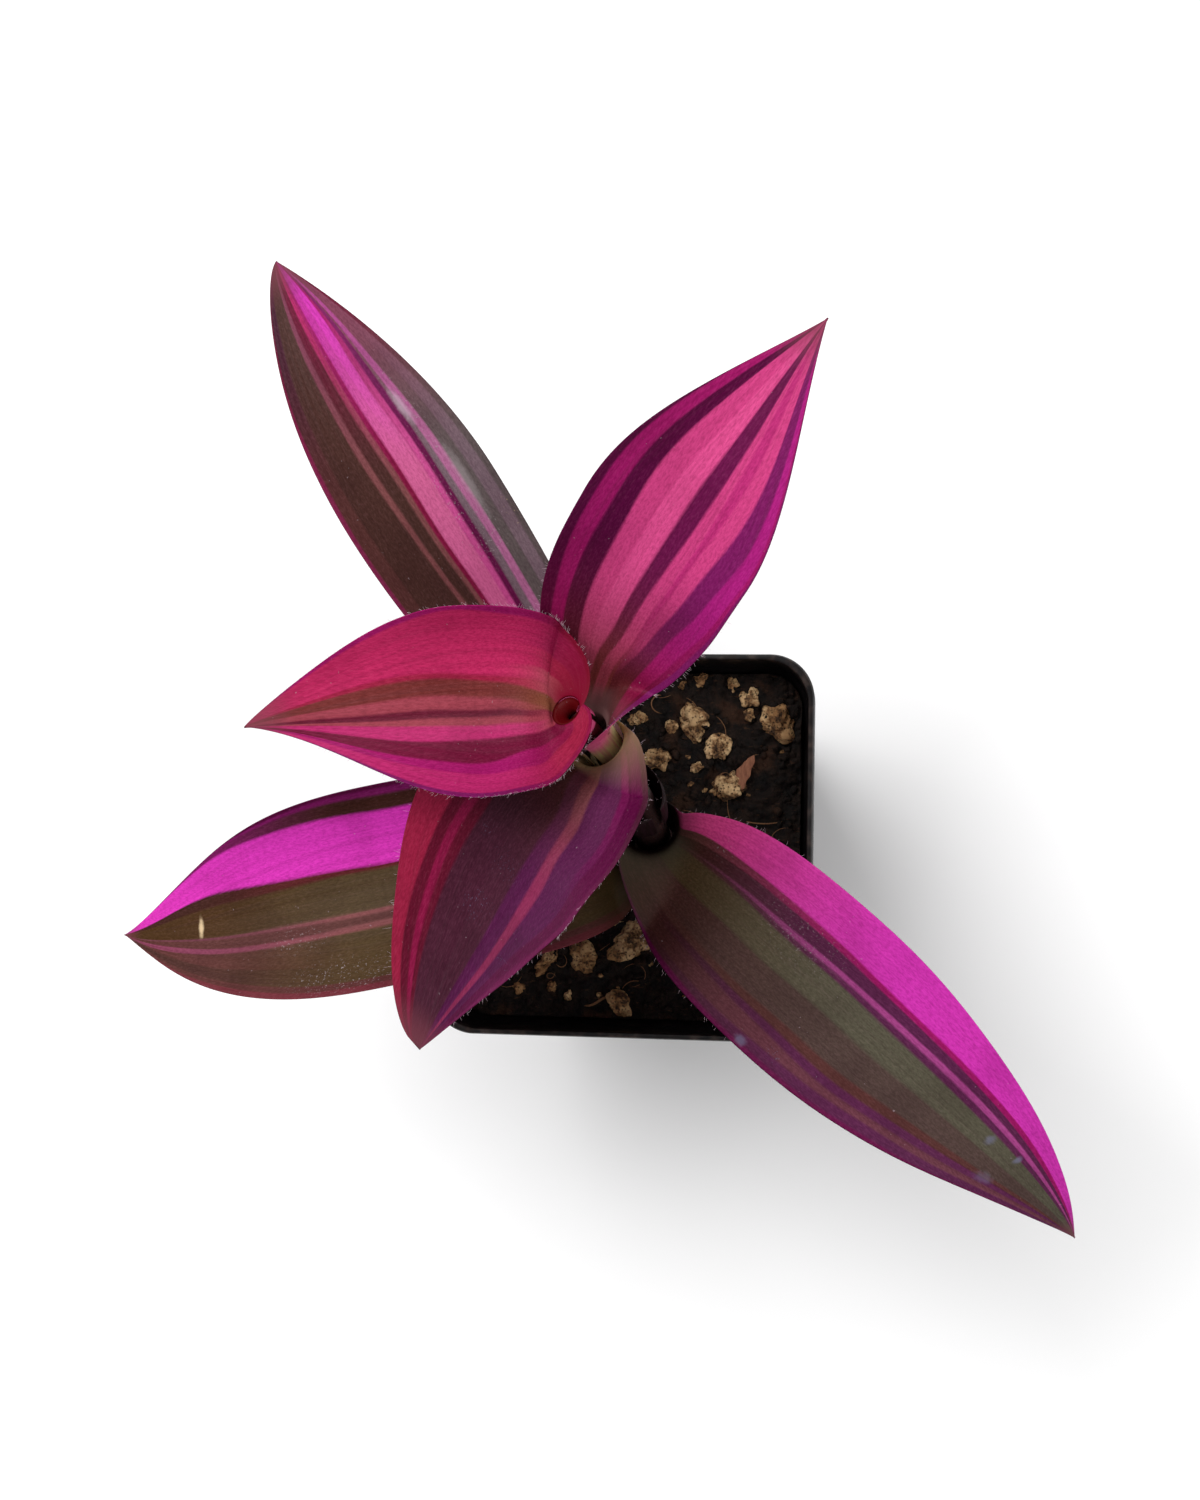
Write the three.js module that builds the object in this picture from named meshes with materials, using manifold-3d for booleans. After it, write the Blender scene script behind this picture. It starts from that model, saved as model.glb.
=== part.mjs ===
// A potted tradescantia: one leaning stem with six striped leaves, rooted in peat and
// perlite in a small square nursery pot. Millimetres, +Z up, origin at the middle of the
// pot's base.
import * as THREE from 'three';
import { mergeVertices } from 'three/addons/utils/BufferGeometryUtils.js';
import Module from 'manifold-3d';

// Pot: a thin moulded square pot that tapers down, with a wider collar at its rim
const RIM = 64; // outside width of the collar at its top
const COLLAR = 62.8; // outside width of the collar at its foot
const COLLAR_DEPTH = 9;
const BASE = 46; // outside width of the base
const POT_HEIGHT = 60;
const WALL = 1;
const RIM_CORNER = 7.4; // corner radius at the rim
const BASE_CORNER = 5.5;
const FLOOR = 1.4; // thickness of the floor
const DRAIN_RADIUS = 3.2;
const DRAIN_OFFSET = 14; // each drain hole's distance from the middle, along X and along Y
const CORNER_STEPS = 5;
const EDGE_STEPS = 5;

// Soil and what lies in it
const CLEARANCE = 0.3; // gap between pieces that touch
const SOIL_LEVEL = 52;
const SOIL_RISE = 1.1; // how far the soil heaps towards its middle
const LUMP = 0.45; // height of the larger lumps
const SOIL_RINGS = 12;
// The large perlite chunks, each as [x, y, diameter]
const CHUNKS = [
  [11, 21.5, 6.2], [25, 21, 5.2], [20.5, 25, 3.4], [17.5, 27.5, 2.4], [12, 28, 2.2],
  [15.3, 16.5, 4], [16.3, 9.8, 4.5], [5, 14.5, 4], [1.5, 21.5, 2.6], [11.5, 13.5, 2],
  [1, -16.6, 6.6], [-13.7, -20, 3.4], [-7.5, -19.2, 4], [-1, -26.5, 3.8], [-12.5, -24, 1.9],
  [-18.5, -24.5, 1.8], [-22, 6, 4.4], [-17, 18, 3.6], [-9, 25, 4.2], [25, -8, 3.4],
];
const GRAIN_STANDS = 0.05; // height of a grain's middle above the soil, as a share of its diameter
const SMALL_GRAINS = 26; // further grains, strewn by a seeded draw
const BARK_AT = [20, 12.6]; // a sliver of bark
const BARK_LENGTH = 7;
const BARK_WIDTH = 2.4;

// Stem: a cubic curve from its foot in the soil to the growing tip
const STEM_CURVE = [[3.3, -0.2, 40], [7.3, -4.2, 66], [10.3, 11.4, 90], [-1.2, 21.1, 113.2]];
const STEM_FOOT = 40.5; // height of its buried end
const STEM_TOP = 107.2; // height at which the stem ends inside the youngest leaf
const STEM_RADIUS = 3; // at the soil
const STEM_TAPER = 0.5; // share of the radius lost over STEM_TAPER_RUN
const STEM_TAPER_RUN = 58;
const NODE_SWELL = 0.16; // how far each joint of the stem stands out
const NODE_LENGTH = 1.6;
const STEM_SIDES = 14;
const STEM_RINGS = 56;

// Leaves: each is a sheet rolled round the stem at its foot, its sheath, which opens into
// an arching blade. foot is the height of the sheath's lower end, azimuth the plan direction
// in which the blade leaves. rise, reach, arch and tip steer the cubic curve of its midrib:
// rise along the stem, reach outwards, arch the third control point and tip the last.
// Each side has a half-width, the share of the length at which it is widest, and two powers:
// ramp rounds the blade's base when below 1, and taper its end. flare is how much wider a
// sheath is at its mouth than at its foot. unroll is the share of the length over which the
// sheet opens to a gutter of radius gutter, and cut how sharply its margins meanwhile leave
// the far side of the stem. roll turns the blade about its midrib, wave ripples its edges,
// and neck draws the sheath in above the stem's end.
const LEAF_THICKNESS = 0.7;
const WRAP = 0.93 * Math.PI; // half the angle that a sheath spans round the stem
const NECK_FROM = -0.75; // share of the sheath at which a neck begins, counted from its mouth
const TIP_HALF_WIDTH = 0.35;
const ROLL_BY = 0.5; // share of the length by which the roll is complete
const WAVE_COUNT = 2.5; // ripples along an edge
const SHEATH_ROWS = 4;
const BLADE_ROWS = 22;
const BLADE_COLUMNS = 10;
const ROW_CROWDING = 0.55; // above 0, rows crowd towards a blade's base and tip
const LEAVES = {
  leaf_lower_left: {
    foot: 56.5, sheath: 6, flare: 0.8, azimuth: 201.1, rise: 13, reach: 12.1,
    arch: [-66.9, -20.9, 75], tip: [-84.5, -16.6, 65],
    left: { width: 18, widest: 0.45, ramp: 0.37, taper: 1.43, cut: 5.2 },
    right: { width: 21.4, widest: 0.48, ramp: 0.51, taper: 1.14, cut: 5.2 },
    unroll: 0.1, gutter: 20, roll: 14.8, wave: 0.3, neck: 0, color: 0x4a3a2c,
  },
  leaf_lower_right: {
    foot: 66, sheath: 6, flare: 0.8, azimuth: -36.8, rise: 11.6, reach: 6.1,
    arch: [69.7, -41.6, 85], tip: [74.9, -61.7, 59],
    left: { width: 11.4, widest: 0.41, ramp: 0.61, taper: 1.2, cut: 6 },
    right: { width: 19.3, widest: 0.44, ramp: 0.42, taper: 1.1, cut: 6 },
    unroll: 0.16, gutter: 42, roll: 10.7, wave: 0.3, neck: 0, color: 0x8c2478,
  },
  leaf_upper_left: {
    foot: 76, sheath: 7, flare: 0.8, azimuth: 142.2, rise: 10.9, reach: 14.1,
    arch: [-28.6, 58.8, 106], tip: [-48.8, 89.9, 100],
    left: { width: 12.7, widest: 0.6, ramp: 0.99, taper: 0.68, cut: 4 },
    right: { width: 12.6, widest: 0.59, ramp: 0.61, taper: 0.95, cut: 4 },
    unroll: 0.12, gutter: 27.3, roll: 3.5, wave: 0.3, neck: 0, color: 0x6e3450,
  },
  leaf_lower_middle: {
    foot: 90, sheath: 10.5, flare: 1.2, azimuth: 251.2, rise: 8.4, reach: 5,
    arch: [-10.1, 5.6, 109], tip: [-27, -32.7, 86],
    left: { width: 24.7, widest: 0.37, ramp: 0.62, taper: 0.93, cut: 4.4 },
    right: { width: 16.8, widest: 0.46, ramp: 0.47, taper: 0.39, cut: 4.2 },
    unroll: 0.13, gutter: 31.9, roll: 25.2, wave: 0.3, neck: 0, color: 0x6e2450,
  },
  leaf_upper_right: {
    foot: 97.5, sheath: 6.3, flare: 0.4, azimuth: 80.4, rise: 1.8, reach: 10.9,
    arch: [10.8, 34.9, 124], tip: [40.2, 72.6, 131],
    left: { width: 15, widest: 0.67, ramp: 0.85, taper: 1.03, cut: 1.8 },
    right: { width: 13.6, widest: 0.67, ramp: 0.6, taper: 1.06, cut: 1.8 },
    unroll: 0.22, gutter: 26.6, roll: -1.7, wave: 0.3, neck: 0, color: 0xb83878,
  },
  leaf_top_left: {
    foot: 105.8, sheath: 4, flare: 0.1, azimuth: 198, rise: 1, reach: 0.3,
    arch: [0.3, 19.8, 115], tip: [-50.3, 17, 106],
    left: { width: 16.9, widest: 0.55, ramp: 0.77, taper: 1.33, cut: 1.6 },
    right: { width: 18, widest: 0.65, ramp: 0.46, taper: 0.82, cut: 5.1 },
    unroll: 0.24, gutter: 15.7, roll: 8.9, wave: 0.3, neck: 1.55, color: 0xb0265e,
  },
};

const wasm = await Module();
wasm.setup();

const { PI, sin, cos, sqrt, hypot, min, max, abs, sign } = Math;
const clamp01 = (x) => min(1, max(0, x));
const smooth = (x) => clamp01(x) ** 2 * (3 - 2 * clamp01(x));
const mix = (a, b, t) => a + (b - a) * t;
const vec = (p) => new THREE.Vector3(...p);

// A seeded draw between 0 and 1, the same on every run
function seededDraw(seed) {
  let state = seed;
  return () => {
    state = (state * 16807) % 2147483647;
    return state / 2147483647;
  };
}

function geometryOf(points, triangles) {
  const geometry = new THREE.BufferGeometry();
  const flat = points.flatMap((p) => [p.x, p.y, p.z]);
  geometry.setAttribute('position', new THREE.Float32BufferAttribute(flat, 3));
  geometry.setIndex(triangles.flat());
  geometry.computeVertexNormals();
  return geometry;
}

// A closed solid through a stack of loops of equal count, capped by a fan at both ends.
// Seen from the last loop's side, each loop runs anticlockwise.
function loft(loops) {
  const count = loops[0].length;
  const points = loops.flat();
  const triangles = [];
  for (let ring = 0; ring < loops.length - 1; ring++) {
    for (let i = 0; i < count; i++) {
      const a = ring * count + i;
      const b = ring * count + ((i + 1) % count);
      triangles.push([a, b, b + count], [a, b + count, a + count]);
    }
  }
  for (const [start, flip] of [[0, true], [(loops.length - 1) * count, false]]) {
    const middle = new THREE.Vector3();
    for (let i = 0; i < count; i++) middle.addScaledVector(points[start + i], 1 / count);
    points.push(middle);
    for (let i = 0; i < count; i++) {
      const a = start + i;
      const b = start + ((i + 1) % count);
      triangles.push(flip ? [b, a, points.length - 1] : [a, b, points.length - 1]);
    }
  }
  return geometryOf(points, triangles);
}

// A closed thick sheet from two like grids of points, split into triangles alike
function thickSheet(upper, lower) {
  const rows = upper.length;
  const columns = upper[0].length;
  const points = [...upper.flat(), ...lower.flat()];
  const under = rows * columns;
  const at = (row, column) => row * columns + column;
  const triangles = [];
  for (let r = 0; r < rows - 1; r++) {
    for (let c = 0; c < columns - 1; c++) {
      const [p, q, s, t] = [at(r, c), at(r, c + 1), at(r + 1, c + 1), at(r + 1, c)];
      triangles.push([p, s, q], [p, t, s]);
      triangles.push([under + p, under + q, under + s], [under + p, under + s, under + t]);
    }
  }
  const wall = (a, b) => triangles.push([a, b, under + b], [a, under + b, under + a]);
  for (let r = 0; r < rows - 1; r++) {
    wall(at(r + 1, 0), at(r, 0));
    wall(at(r, columns - 1), at(r + 1, columns - 1));
  }
  for (let c = 0; c < columns - 1; c++) {
    wall(at(0, c), at(0, c + 1));
    wall(at(rows - 1, c + 1), at(rows - 1, c));
  }
  return geometryOf(points, triangles);
}

function toManifold(geometry) {
  const bare = geometry.clone();
  for (const name of ['normal', 'uv']) bare.deleteAttribute(name);
  const merged = mergeVertices(bare);
  const vertProperties = new Float32Array(merged.attributes.position.array);
  const triVerts = new Uint32Array(merged.index.array);
  return new wasm.Manifold(new wasm.Mesh({ numProp: 3, vertProperties, triVerts }));
}

// The largest of a solid's separate bodies, without the loose scraps
function largestBody(solid) {
  return solid.decompose().reduce((best, body) => (body.volume() > best.volume() ? body : best));
}

function fromManifold(solid) {
  const { vertProperties, triVerts } = solid.getMesh();
  const geometry = new THREE.BufferGeometry();
  geometry.setAttribute('position', new THREE.BufferAttribute(vertProperties, 3));
  geometry.setIndex(new THREE.BufferAttribute(triVerts, 1));
  geometry.computeVertexNormals();
  return geometry;
}

// A square of the given width with rounded corners, as an anticlockwise loop at height z
function roundedSquare(width, corner, z) {
  const half = width / 2;
  const loop = [];
  for (let quarter = 0; quarter < 4; quarter++) {
    const turn = (quarter * PI) / 2;
    const place = (x, y) => {
      loop.push(new THREE.Vector3(x * cos(turn) - y * sin(turn), x * sin(turn) + y * cos(turn), z));
    };
    for (let i = 1; i < EDGE_STEPS; i++) {
      place(half, mix(corner - half, half - corner, i / EDGE_STEPS));
    }
    for (let i = 0; i <= CORNER_STEPS; i++) {
      const angle = (i / CORNER_STEPS) * (PI / 2);
      place(half - corner + corner * cos(angle), half - corner + corner * sin(angle));
    }
  }
  return loop;
}

// Outside width and corner radius of the pot's tapered body at a height below the collar
const collarFoot = POT_HEIGHT - COLLAR_DEPTH;
const BODY_TOP = COLLAR - 2.4; // outside width of the body where the collar steps out
const bodyWidth = (z) => mix(BASE, BODY_TOP, z / collarFoot);
const cornerAt = (z) => mix(BASE_CORNER, RIM_CORNER, z / POT_HEIGHT);

function makePot() {
  const outer = [
    [BASE - 1.2, 0],
    [BASE, 0.8],
    [bodyWidth(collarFoot * 0.5), collarFoot * 0.5],
    [BODY_TOP, collarFoot],
    [COLLAR - 0.5, collarFoot + 0.1],
    [COLLAR, collarFoot + 0.7],
    [RIM - 0.3, POT_HEIGHT - 1.2],
    [RIM, POT_HEIGHT - 0.9],
    [RIM - 0.2, POT_HEIGHT - 0.15],
    [RIM - 0.6, POT_HEIGHT],
  ];
  const inner = [
    [RIM - 2 * WALL + 0.4, POT_HEIGHT],
    [RIM - 2 * WALL, POT_HEIGHT - 0.3],
    [COLLAR - 2 * WALL, collarFoot + 0.9],
    [BODY_TOP - 2 * WALL, collarFoot],
    [bodyWidth(FLOOR) - 2 * WALL, FLOOR + 0.6],
    [bodyWidth(FLOOR) - 2 * WALL - 1.2, FLOOR],
  ];
  const loops = [
    ...outer.map(([width, z]) => roundedSquare(width, cornerAt(z), z)),
    ...inner.map(([width, z]) => roundedSquare(width, cornerAt(z) - WALL, z)),
  ];
  let solid = toManifold(loft(loops));
  for (const [sx, sy] of [[1, 1], [-1, 1], [-1, -1], [1, -1]]) {
    const drill = new THREE.CylinderGeometry(DRAIN_RADIUS, DRAIN_RADIUS, 4 * FLOOR, 24);
    drill.rotateX(PI / 2);
    drill.translate(sx * DRAIN_OFFSET, sy * DRAIN_OFFSET, FLOOR / 2);
    solid = solid.subtract(toManifold(drill));
  }
  return fromManifold(solid);
}

const stemCurve = new THREE.CubicBezierCurve3(...STEM_CURVE.map(vec));

// The curve's parameter at a height, found by halving
function stemParameter(z) {
  let [low, high] = [0, 1];
  for (let i = 0; i < 40; i++) {
    const middle = (low + high) / 2;
    if (stemCurve.getPoint(middle).z < z) low = middle;
    else high = middle;
  }
  return low;
}

function stemRadius(z) {
  return STEM_RADIUS * (1 - STEM_TAPER * clamp01((z - SOIL_LEVEL + 2) / STEM_TAPER_RUN) ** 2);
}

// The curve's point and direction at a height, with two sides square to it
function stemFrame(z) {
  const t = stemParameter(z);
  const along = stemCurve.getTangent(t);
  const side = new THREE.Vector3(0, 1, 0).cross(along).normalize();
  return { at: stemCurve.getPoint(t), along, side, back: along.clone().cross(side) };
}

function stemSolid(extra, from, to) {
  const loops = [];
  for (let ring = 0; ring <= STEM_RINGS; ring++) {
    const z = mix(from, to, ring / STEM_RINGS);
    const { at, side, back } = stemFrame(z);
    let radius = stemRadius(z) + extra;
    if (extra === 0) {
      for (const { foot } of Object.values(LEAVES)) {
        radius += NODE_SWELL * max(0, 1 - abs(z - foot + NODE_LENGTH) / NODE_LENGTH);
      }
      radius *= sqrt(max(0.04, 1 - clamp01((z - to + 2) / 2) ** 2));
    }
    const loop = [];
    for (let i = 0; i < STEM_SIDES; i++) {
      const angle = (i / STEM_SIDES) * 2 * PI;
      loop.push(at.clone()
        .addScaledVector(side, radius * cos(angle))
        .addScaledVector(back, radius * sin(angle)));
    }
    loops.push(loop);
  }
  return loft(loops);
}

// Height of the bare soil: a slight heap with crossed ripples for its lumps
function soilHeight(x, y) {
  const edge = clamp01(1 - max(abs(x), abs(y)) / (RIM / 2));
  const coarse = sin(0.42 * x + 1.3) * cos(0.37 * y - 0.6) + 0.6 * sin(0.83 * x - 0.55 * y);
  const fine = sin(1.1 * x + 0.5 * y) * sin(1.2 * y - 0.6 * x);
  return SOIL_LEVEL + SOIL_RISE * sqrt(edge) + LUMP * coarse + 0.4 * LUMP * fine;
}

// A pitted grain: an icosahedron whose corners are drawn in and out and pressed flatter
function grain(x, y, diameter, detail, draw) {
  const geometry = new THREE.IcosahedronGeometry(diameter / 2, detail);
  for (const name of ['normal', 'uv']) geometry.deleteAttribute(name);
  const merged = mergeVertices(geometry);
  const stretch = [mix(0.9, 1.2, draw()), mix(0.8, 1, draw()), mix(0.65, 0.85, draw())];
  const turn = draw() * PI;
  const position = merged.attributes.position;
  for (let i = 0; i < position.count; i++) {
    const dent = mix(0.78, 1.08, draw());
    const p = new THREE.Vector3().fromBufferAttribute(position, i);
    p.multiplyScalar(dent).multiply(vec(stretch)).applyAxisAngle(new THREE.Vector3(0, 0, 1), turn);
    position.setXYZ(i, p.x + x, p.y + y, p.z + soilHeight(x, y) + GRAIN_STANDS * diameter);
  }
  return merged;
}

function barkSliver() {
  const [x, y] = BARK_AT;
  const outline = new THREE.Shape();
  outline.moveTo(-BARK_LENGTH / 2, 0);
  outline.lineTo(-BARK_LENGTH * 0.15, BARK_WIDTH / 2);
  outline.lineTo(BARK_LENGTH * 0.4, BARK_WIDTH * 0.4);
  outline.lineTo(BARK_LENGTH / 2, -BARK_WIDTH * 0.1);
  outline.lineTo(BARK_LENGTH * 0.1, -BARK_WIDTH / 2);
  const geometry = new THREE.ExtrudeGeometry(outline, { depth: 1.6, bevelEnabled: false });
  geometry.rotateY(0.14);
  geometry.rotateZ(1.2);
  geometry.translate(x, y, soilHeight(x, y) - 0.7);
  return geometry;
}

function makeSoil() {
  const innerWidth = (z) => bodyWidth(z) - 2 * WALL - 2 * CLEARANCE;
  const innerCorner = (z) => cornerAt(z) - WALL - CLEARANCE;
  const edgeHeight = SOIL_LEVEL - 0.4;
  const bottom = FLOOR + CLEARANCE;
  const widthTop = innerWidth(collarFoot) + 0.6;
  const loops = [
    roundedSquare(innerWidth(FLOOR) - 1.6, innerCorner(0), bottom),
    roundedSquare(innerWidth(FLOOR) - 0.2, innerCorner(0), bottom + 0.9),
    roundedSquare(innerWidth(collarFoot), innerCorner(collarFoot), collarFoot - 0.2),
    roundedSquare(widthTop, innerCorner(collarFoot), edgeHeight),
  ];
  for (let ring = 1; ring < SOIL_RINGS; ring++) {
    const share = 1 - ring / SOIL_RINGS;
    const corner = innerCorner(collarFoot) * share;
    const loop = roundedSquare(widthTop * share, corner, 0);
    for (const p of loop) p.z = soilHeight(p.x, p.y);
    loops.push(loop);
  }
  let solid = toManifold(loft(loops));
  const draw = seededDraw(5);
  for (const [x, y, diameter] of CHUNKS) {
    solid = solid.add(toManifold(grain(x, y, diameter, diameter > 3 ? 1 : 0, draw)));
  }
  const reach = RIM / 2 - 6;
  for (let i = 0; i < SMALL_GRAINS; i++) {
    const x = mix(-reach, reach, draw());
    const y = mix(-reach, reach, draw());
    const diameter = mix(1.3, 2.6, draw());
    const foot = stemCurve.getPoint(stemParameter(SOIL_LEVEL));
    const nearStem = hypot(x - foot.x, y - foot.y) < 3 * STEM_RADIUS;
    if (!nearStem) solid = solid.add(toManifold(grain(x, y, diameter, 0, draw)));
  }
  solid = solid.add(toManifold(barkSliver()));
  const hole = stemSolid(CLEARANCE, STEM_FOOT - CLEARANCE, SOIL_LEVEL + 8);
  return fromManifold(largestBody(solid.subtract(toManifold(hole))));
}

// Half-width of a blade along its length: the sheath's wrap dies away as the sheet unrolls,
// while a sine widens the blade to its widest place and a cosine narrows it to the tip
function halfWidth(s, side, sheathWidth, unroll) {
  const { width, widest, ramp, taper, cut } = side;
  if (s < widest) {
    const wrap = sheathWidth * max(0, 1 - s / unroll) ** cut;
    return wrap + width * sin((PI / 2) * (s / widest)) ** ramp;
  }
  return max(TIP_HALF_WIDTH, width * max(0, cos(((PI / 2) * (s - widest)) / (1 - widest))) ** taper);
}

// The middle surface of a leaf as a function of s, from -1 at the sheath's foot by 0 at its
// mouth to 1 at the tip, and v, from -1 at the right edge to 1 at the left
function leafSurface(leaf) {
  const snug = stemRadius(leaf.foot) + NODE_SWELL + CLEARANCE + LEAF_THICKNESS / 2;
  const radius = snug + leaf.flare;
  const azimuth = THREE.MathUtils.degToRad(leaf.azimuth);
  const across = new THREE.Vector3(-sin(azimuth), cos(azimuth), 0);
  const mouth = leaf.foot + leaf.sheath;
  const outwards = (along) => across.clone().cross(along).normalize();
  const top = stemFrame(mouth);
  const start = top.at.clone().addScaledVector(outwards(top.along), radius);
  const steer = start.clone()
    .addScaledVector(top.along, leaf.rise)
    .addScaledVector(outwards(top.along), leaf.reach);
  const midrib = new THREE.CubicBezierCurve3(start, steer, vec(leaf.arch), vec(leaf.tip));
  return (s, v) => {
    const blade = max(0, s);
    let at;
    let along;
    let rolled = radius;
    if (s <= 0) {
      const frame = stemFrame(mouth + leaf.sheath * s);
      along = frame.along;
      rolled = mix(snug, radius, s + 1) - leaf.neck * sin(PI * clamp01(1 - s / NECK_FROM));
      at = frame.at.clone().addScaledVector(outwards(along), rolled);
    } else {
      along = top.along.clone().lerp(midrib.getTangent(s), smooth(s / leaf.unroll)).normalize();
      at = midrib.getPoint(s);
    }
    const inwards = along.clone().cross(across).normalize();
    const left = inwards.clone().cross(along);
    const turn = THREE.MathUtils.degToRad(leaf.roll) * smooth(blade / ROLL_BY);
    left.applyAxisAngle(along, turn);
    inwards.applyAxisAngle(along, turn);
    const side = v >= 0 ? leaf.left : leaf.right;
    const width = halfWidth(blade, side, WRAP * rolled, leaf.unroll);
    const curl = mix(1 / rolled, 1 / leaf.gutter, smooth(blade / leaf.unroll));
    const angle = curl * width * v;
    const ripple = leaf.wave * v * v * smooth(3 * blade) * sin(2 * PI * WAVE_COUNT * s + 2 * sign(v));
    return at
      .addScaledVector(left, sin(angle) / curl)
      .addScaledVector(inwards, (1 - cos(angle)) / curl + ripple * smooth(4 * (1 - blade)));
  };
}

function makeLeaf(leaf) {
  const surface = leafSurface(leaf);
  const step = 1e-3;
  const upper = [];
  const lower = [];
  for (let row = -SHEATH_ROWS; row <= BLADE_ROWS; row++) {
    const share = row / BLADE_ROWS;
    const s = row < 0 ? row / SHEATH_ROWS : share - (ROW_CROWDING * sin(2 * PI * share)) / (2 * PI);
    const upperRow = [];
    const lowerRow = [];
    for (let column = 0; column <= BLADE_COLUMNS; column++) {
      const v = mix(-1, 1, column / BLADE_COLUMNS);
      const point = surface(s, v);
      const alongStep = surface(min(1, s + step), v).sub(surface(max(-1, s - step), v));
      const acrossStep = surface(s, min(1, v + step)).sub(surface(s, max(-1, v - step)));
      const normal = alongStep.cross(acrossStep).normalize();
      upperRow.push(point.clone().addScaledVector(normal, LEAF_THICKNESS / 2));
      lowerRow.push(point.clone().addScaledVector(normal, -LEAF_THICKNESS / 2));
    }
    upper.push(upperRow);
    lower.push(lowerRow);
  }
  return thickSheet(upper, lower);
}

const finish = (color, roughness) => new THREE.MeshStandardMaterial({ color, roughness, metalness: 0 });

function named(name, geometry, material) {
  const mesh = new THREE.Mesh(geometry, material);
  mesh.name = name;
  return mesh;
}

const plant = new THREE.Group();
plant.add(named('pot', makePot(), finish(0x121011, 0.5)));
plant.add(named('soil', makeSoil(), finish(0x1c1411, 0.95)));
plant.add(named('stem', stemSolid(0, STEM_FOOT, STEM_TOP), finish(0x5e6b35, 0.5)));
for (const [name, leaf] of Object.entries(LEAVES)) {
  plant.add(named(name, makeLeaf(leaf), finish(leaf.color, 0.4)));
}

export default plant;
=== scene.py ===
import math

import bmesh
import bpy
import numpy as np
from mathutils import Matrix, Vector


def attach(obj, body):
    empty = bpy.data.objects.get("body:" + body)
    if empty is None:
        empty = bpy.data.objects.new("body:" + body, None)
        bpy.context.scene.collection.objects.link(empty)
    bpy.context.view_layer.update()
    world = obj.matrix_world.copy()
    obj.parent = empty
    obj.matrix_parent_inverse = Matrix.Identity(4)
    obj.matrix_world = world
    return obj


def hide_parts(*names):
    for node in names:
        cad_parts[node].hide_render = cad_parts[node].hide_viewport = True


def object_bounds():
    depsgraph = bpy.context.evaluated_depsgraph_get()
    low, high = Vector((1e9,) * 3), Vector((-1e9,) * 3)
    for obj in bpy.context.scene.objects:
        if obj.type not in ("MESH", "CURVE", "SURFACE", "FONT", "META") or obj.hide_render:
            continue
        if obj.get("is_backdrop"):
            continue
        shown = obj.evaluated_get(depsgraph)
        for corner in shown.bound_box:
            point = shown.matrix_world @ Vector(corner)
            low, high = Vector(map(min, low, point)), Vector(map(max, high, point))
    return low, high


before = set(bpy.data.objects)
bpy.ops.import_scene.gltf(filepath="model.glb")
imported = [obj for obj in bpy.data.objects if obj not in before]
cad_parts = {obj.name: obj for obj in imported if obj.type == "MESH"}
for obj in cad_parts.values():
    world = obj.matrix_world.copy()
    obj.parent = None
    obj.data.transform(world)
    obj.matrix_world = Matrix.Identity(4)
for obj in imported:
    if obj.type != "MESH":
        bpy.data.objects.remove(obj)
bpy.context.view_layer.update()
MM = 0.001


# ---- Camera ---------------------------------------------------------------------------
# The photograph looks almost straight down on the plant, a little from its right, from
# about 40 cm above the pot's rim.

CAMERA_AT = Vector((72.932, 0.0, 473.619)) * MM
CAMERA_AIM = Vector((-3.664, 15.843, 60.0)) * MM
CAMERA_ROLL = 0.016924
CAMERA_LENS = 60.574
CAMERA_SENSOR = 36
CAMERA_NEAR = 0.01

forward = (CAMERA_AIM - CAMERA_AT).normalized()
level = forward.cross(Vector((0, 1, 0))).normalized()
upright = level.cross(forward)
side = level * math.cos(CAMERA_ROLL) + upright * math.sin(CAMERA_ROLL)
up = upright * math.cos(CAMERA_ROLL) - level * math.sin(CAMERA_ROLL)
camera_data = bpy.data.cameras.new("camera")
camera_data.lens = CAMERA_LENS
camera_data.sensor_width = CAMERA_SENSOR
camera_data.clip_start = CAMERA_NEAR
camera = bpy.data.objects.new("camera", camera_data)
turn = Matrix((side, up, -forward)).transposed().to_4x4()
camera.matrix_world = Matrix.Translation(CAMERA_AT) @ turn
bpy.context.scene.collection.objects.link(camera)
bpy.context.scene.camera = camera


# ---- Studio ---------------------------------------------------------------------------
# A pale floor under a white surround, with one large soft light above on the left and a
# weaker one on the right.

WHITE = (1, 1, 1, 1)
SURROUND_STRENGTH = 0.4
PLANT_MIDDLE = (0, 0, 0.08)
FLOOR_REACH = 3.0
PAPER_WHITE = (0.93, 0.93, 0.93, 1)
PAPER_ROUGHNESS = 0.9

bpy.context.scene.view_settings.view_transform = "Standard"
world = bpy.data.worlds.new("studio")
world.use_nodes = True
surround = world.node_tree.nodes["Background"]
surround.inputs["Color"].default_value = WHITE
surround.inputs["Strength"].default_value = SURROUND_STRENGTH
bpy.context.scene.world = world


def soft_light(name, at, aim, width, power):
    """A square area light at one point, turned to another."""
    data = bpy.data.lights.new(name, "AREA")
    data.size = width
    data.energy = power
    lamp = bpy.data.objects.new(name, data)
    lamp.location = at
    lamp.rotation_euler = (Vector(aim) - Vector(at)).to_track_quat("-Z", "Y").to_euler()
    bpy.context.scene.collection.objects.link(lamp)


soft_light("key_light", (-0.35, 0.4, 0.9), PLANT_MIDDLE, 0.7, 11.0)
soft_light("fill_light", (0.7, -0.25, 0.6), PLANT_MIDDLE, 0.6, 3.2)

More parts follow.
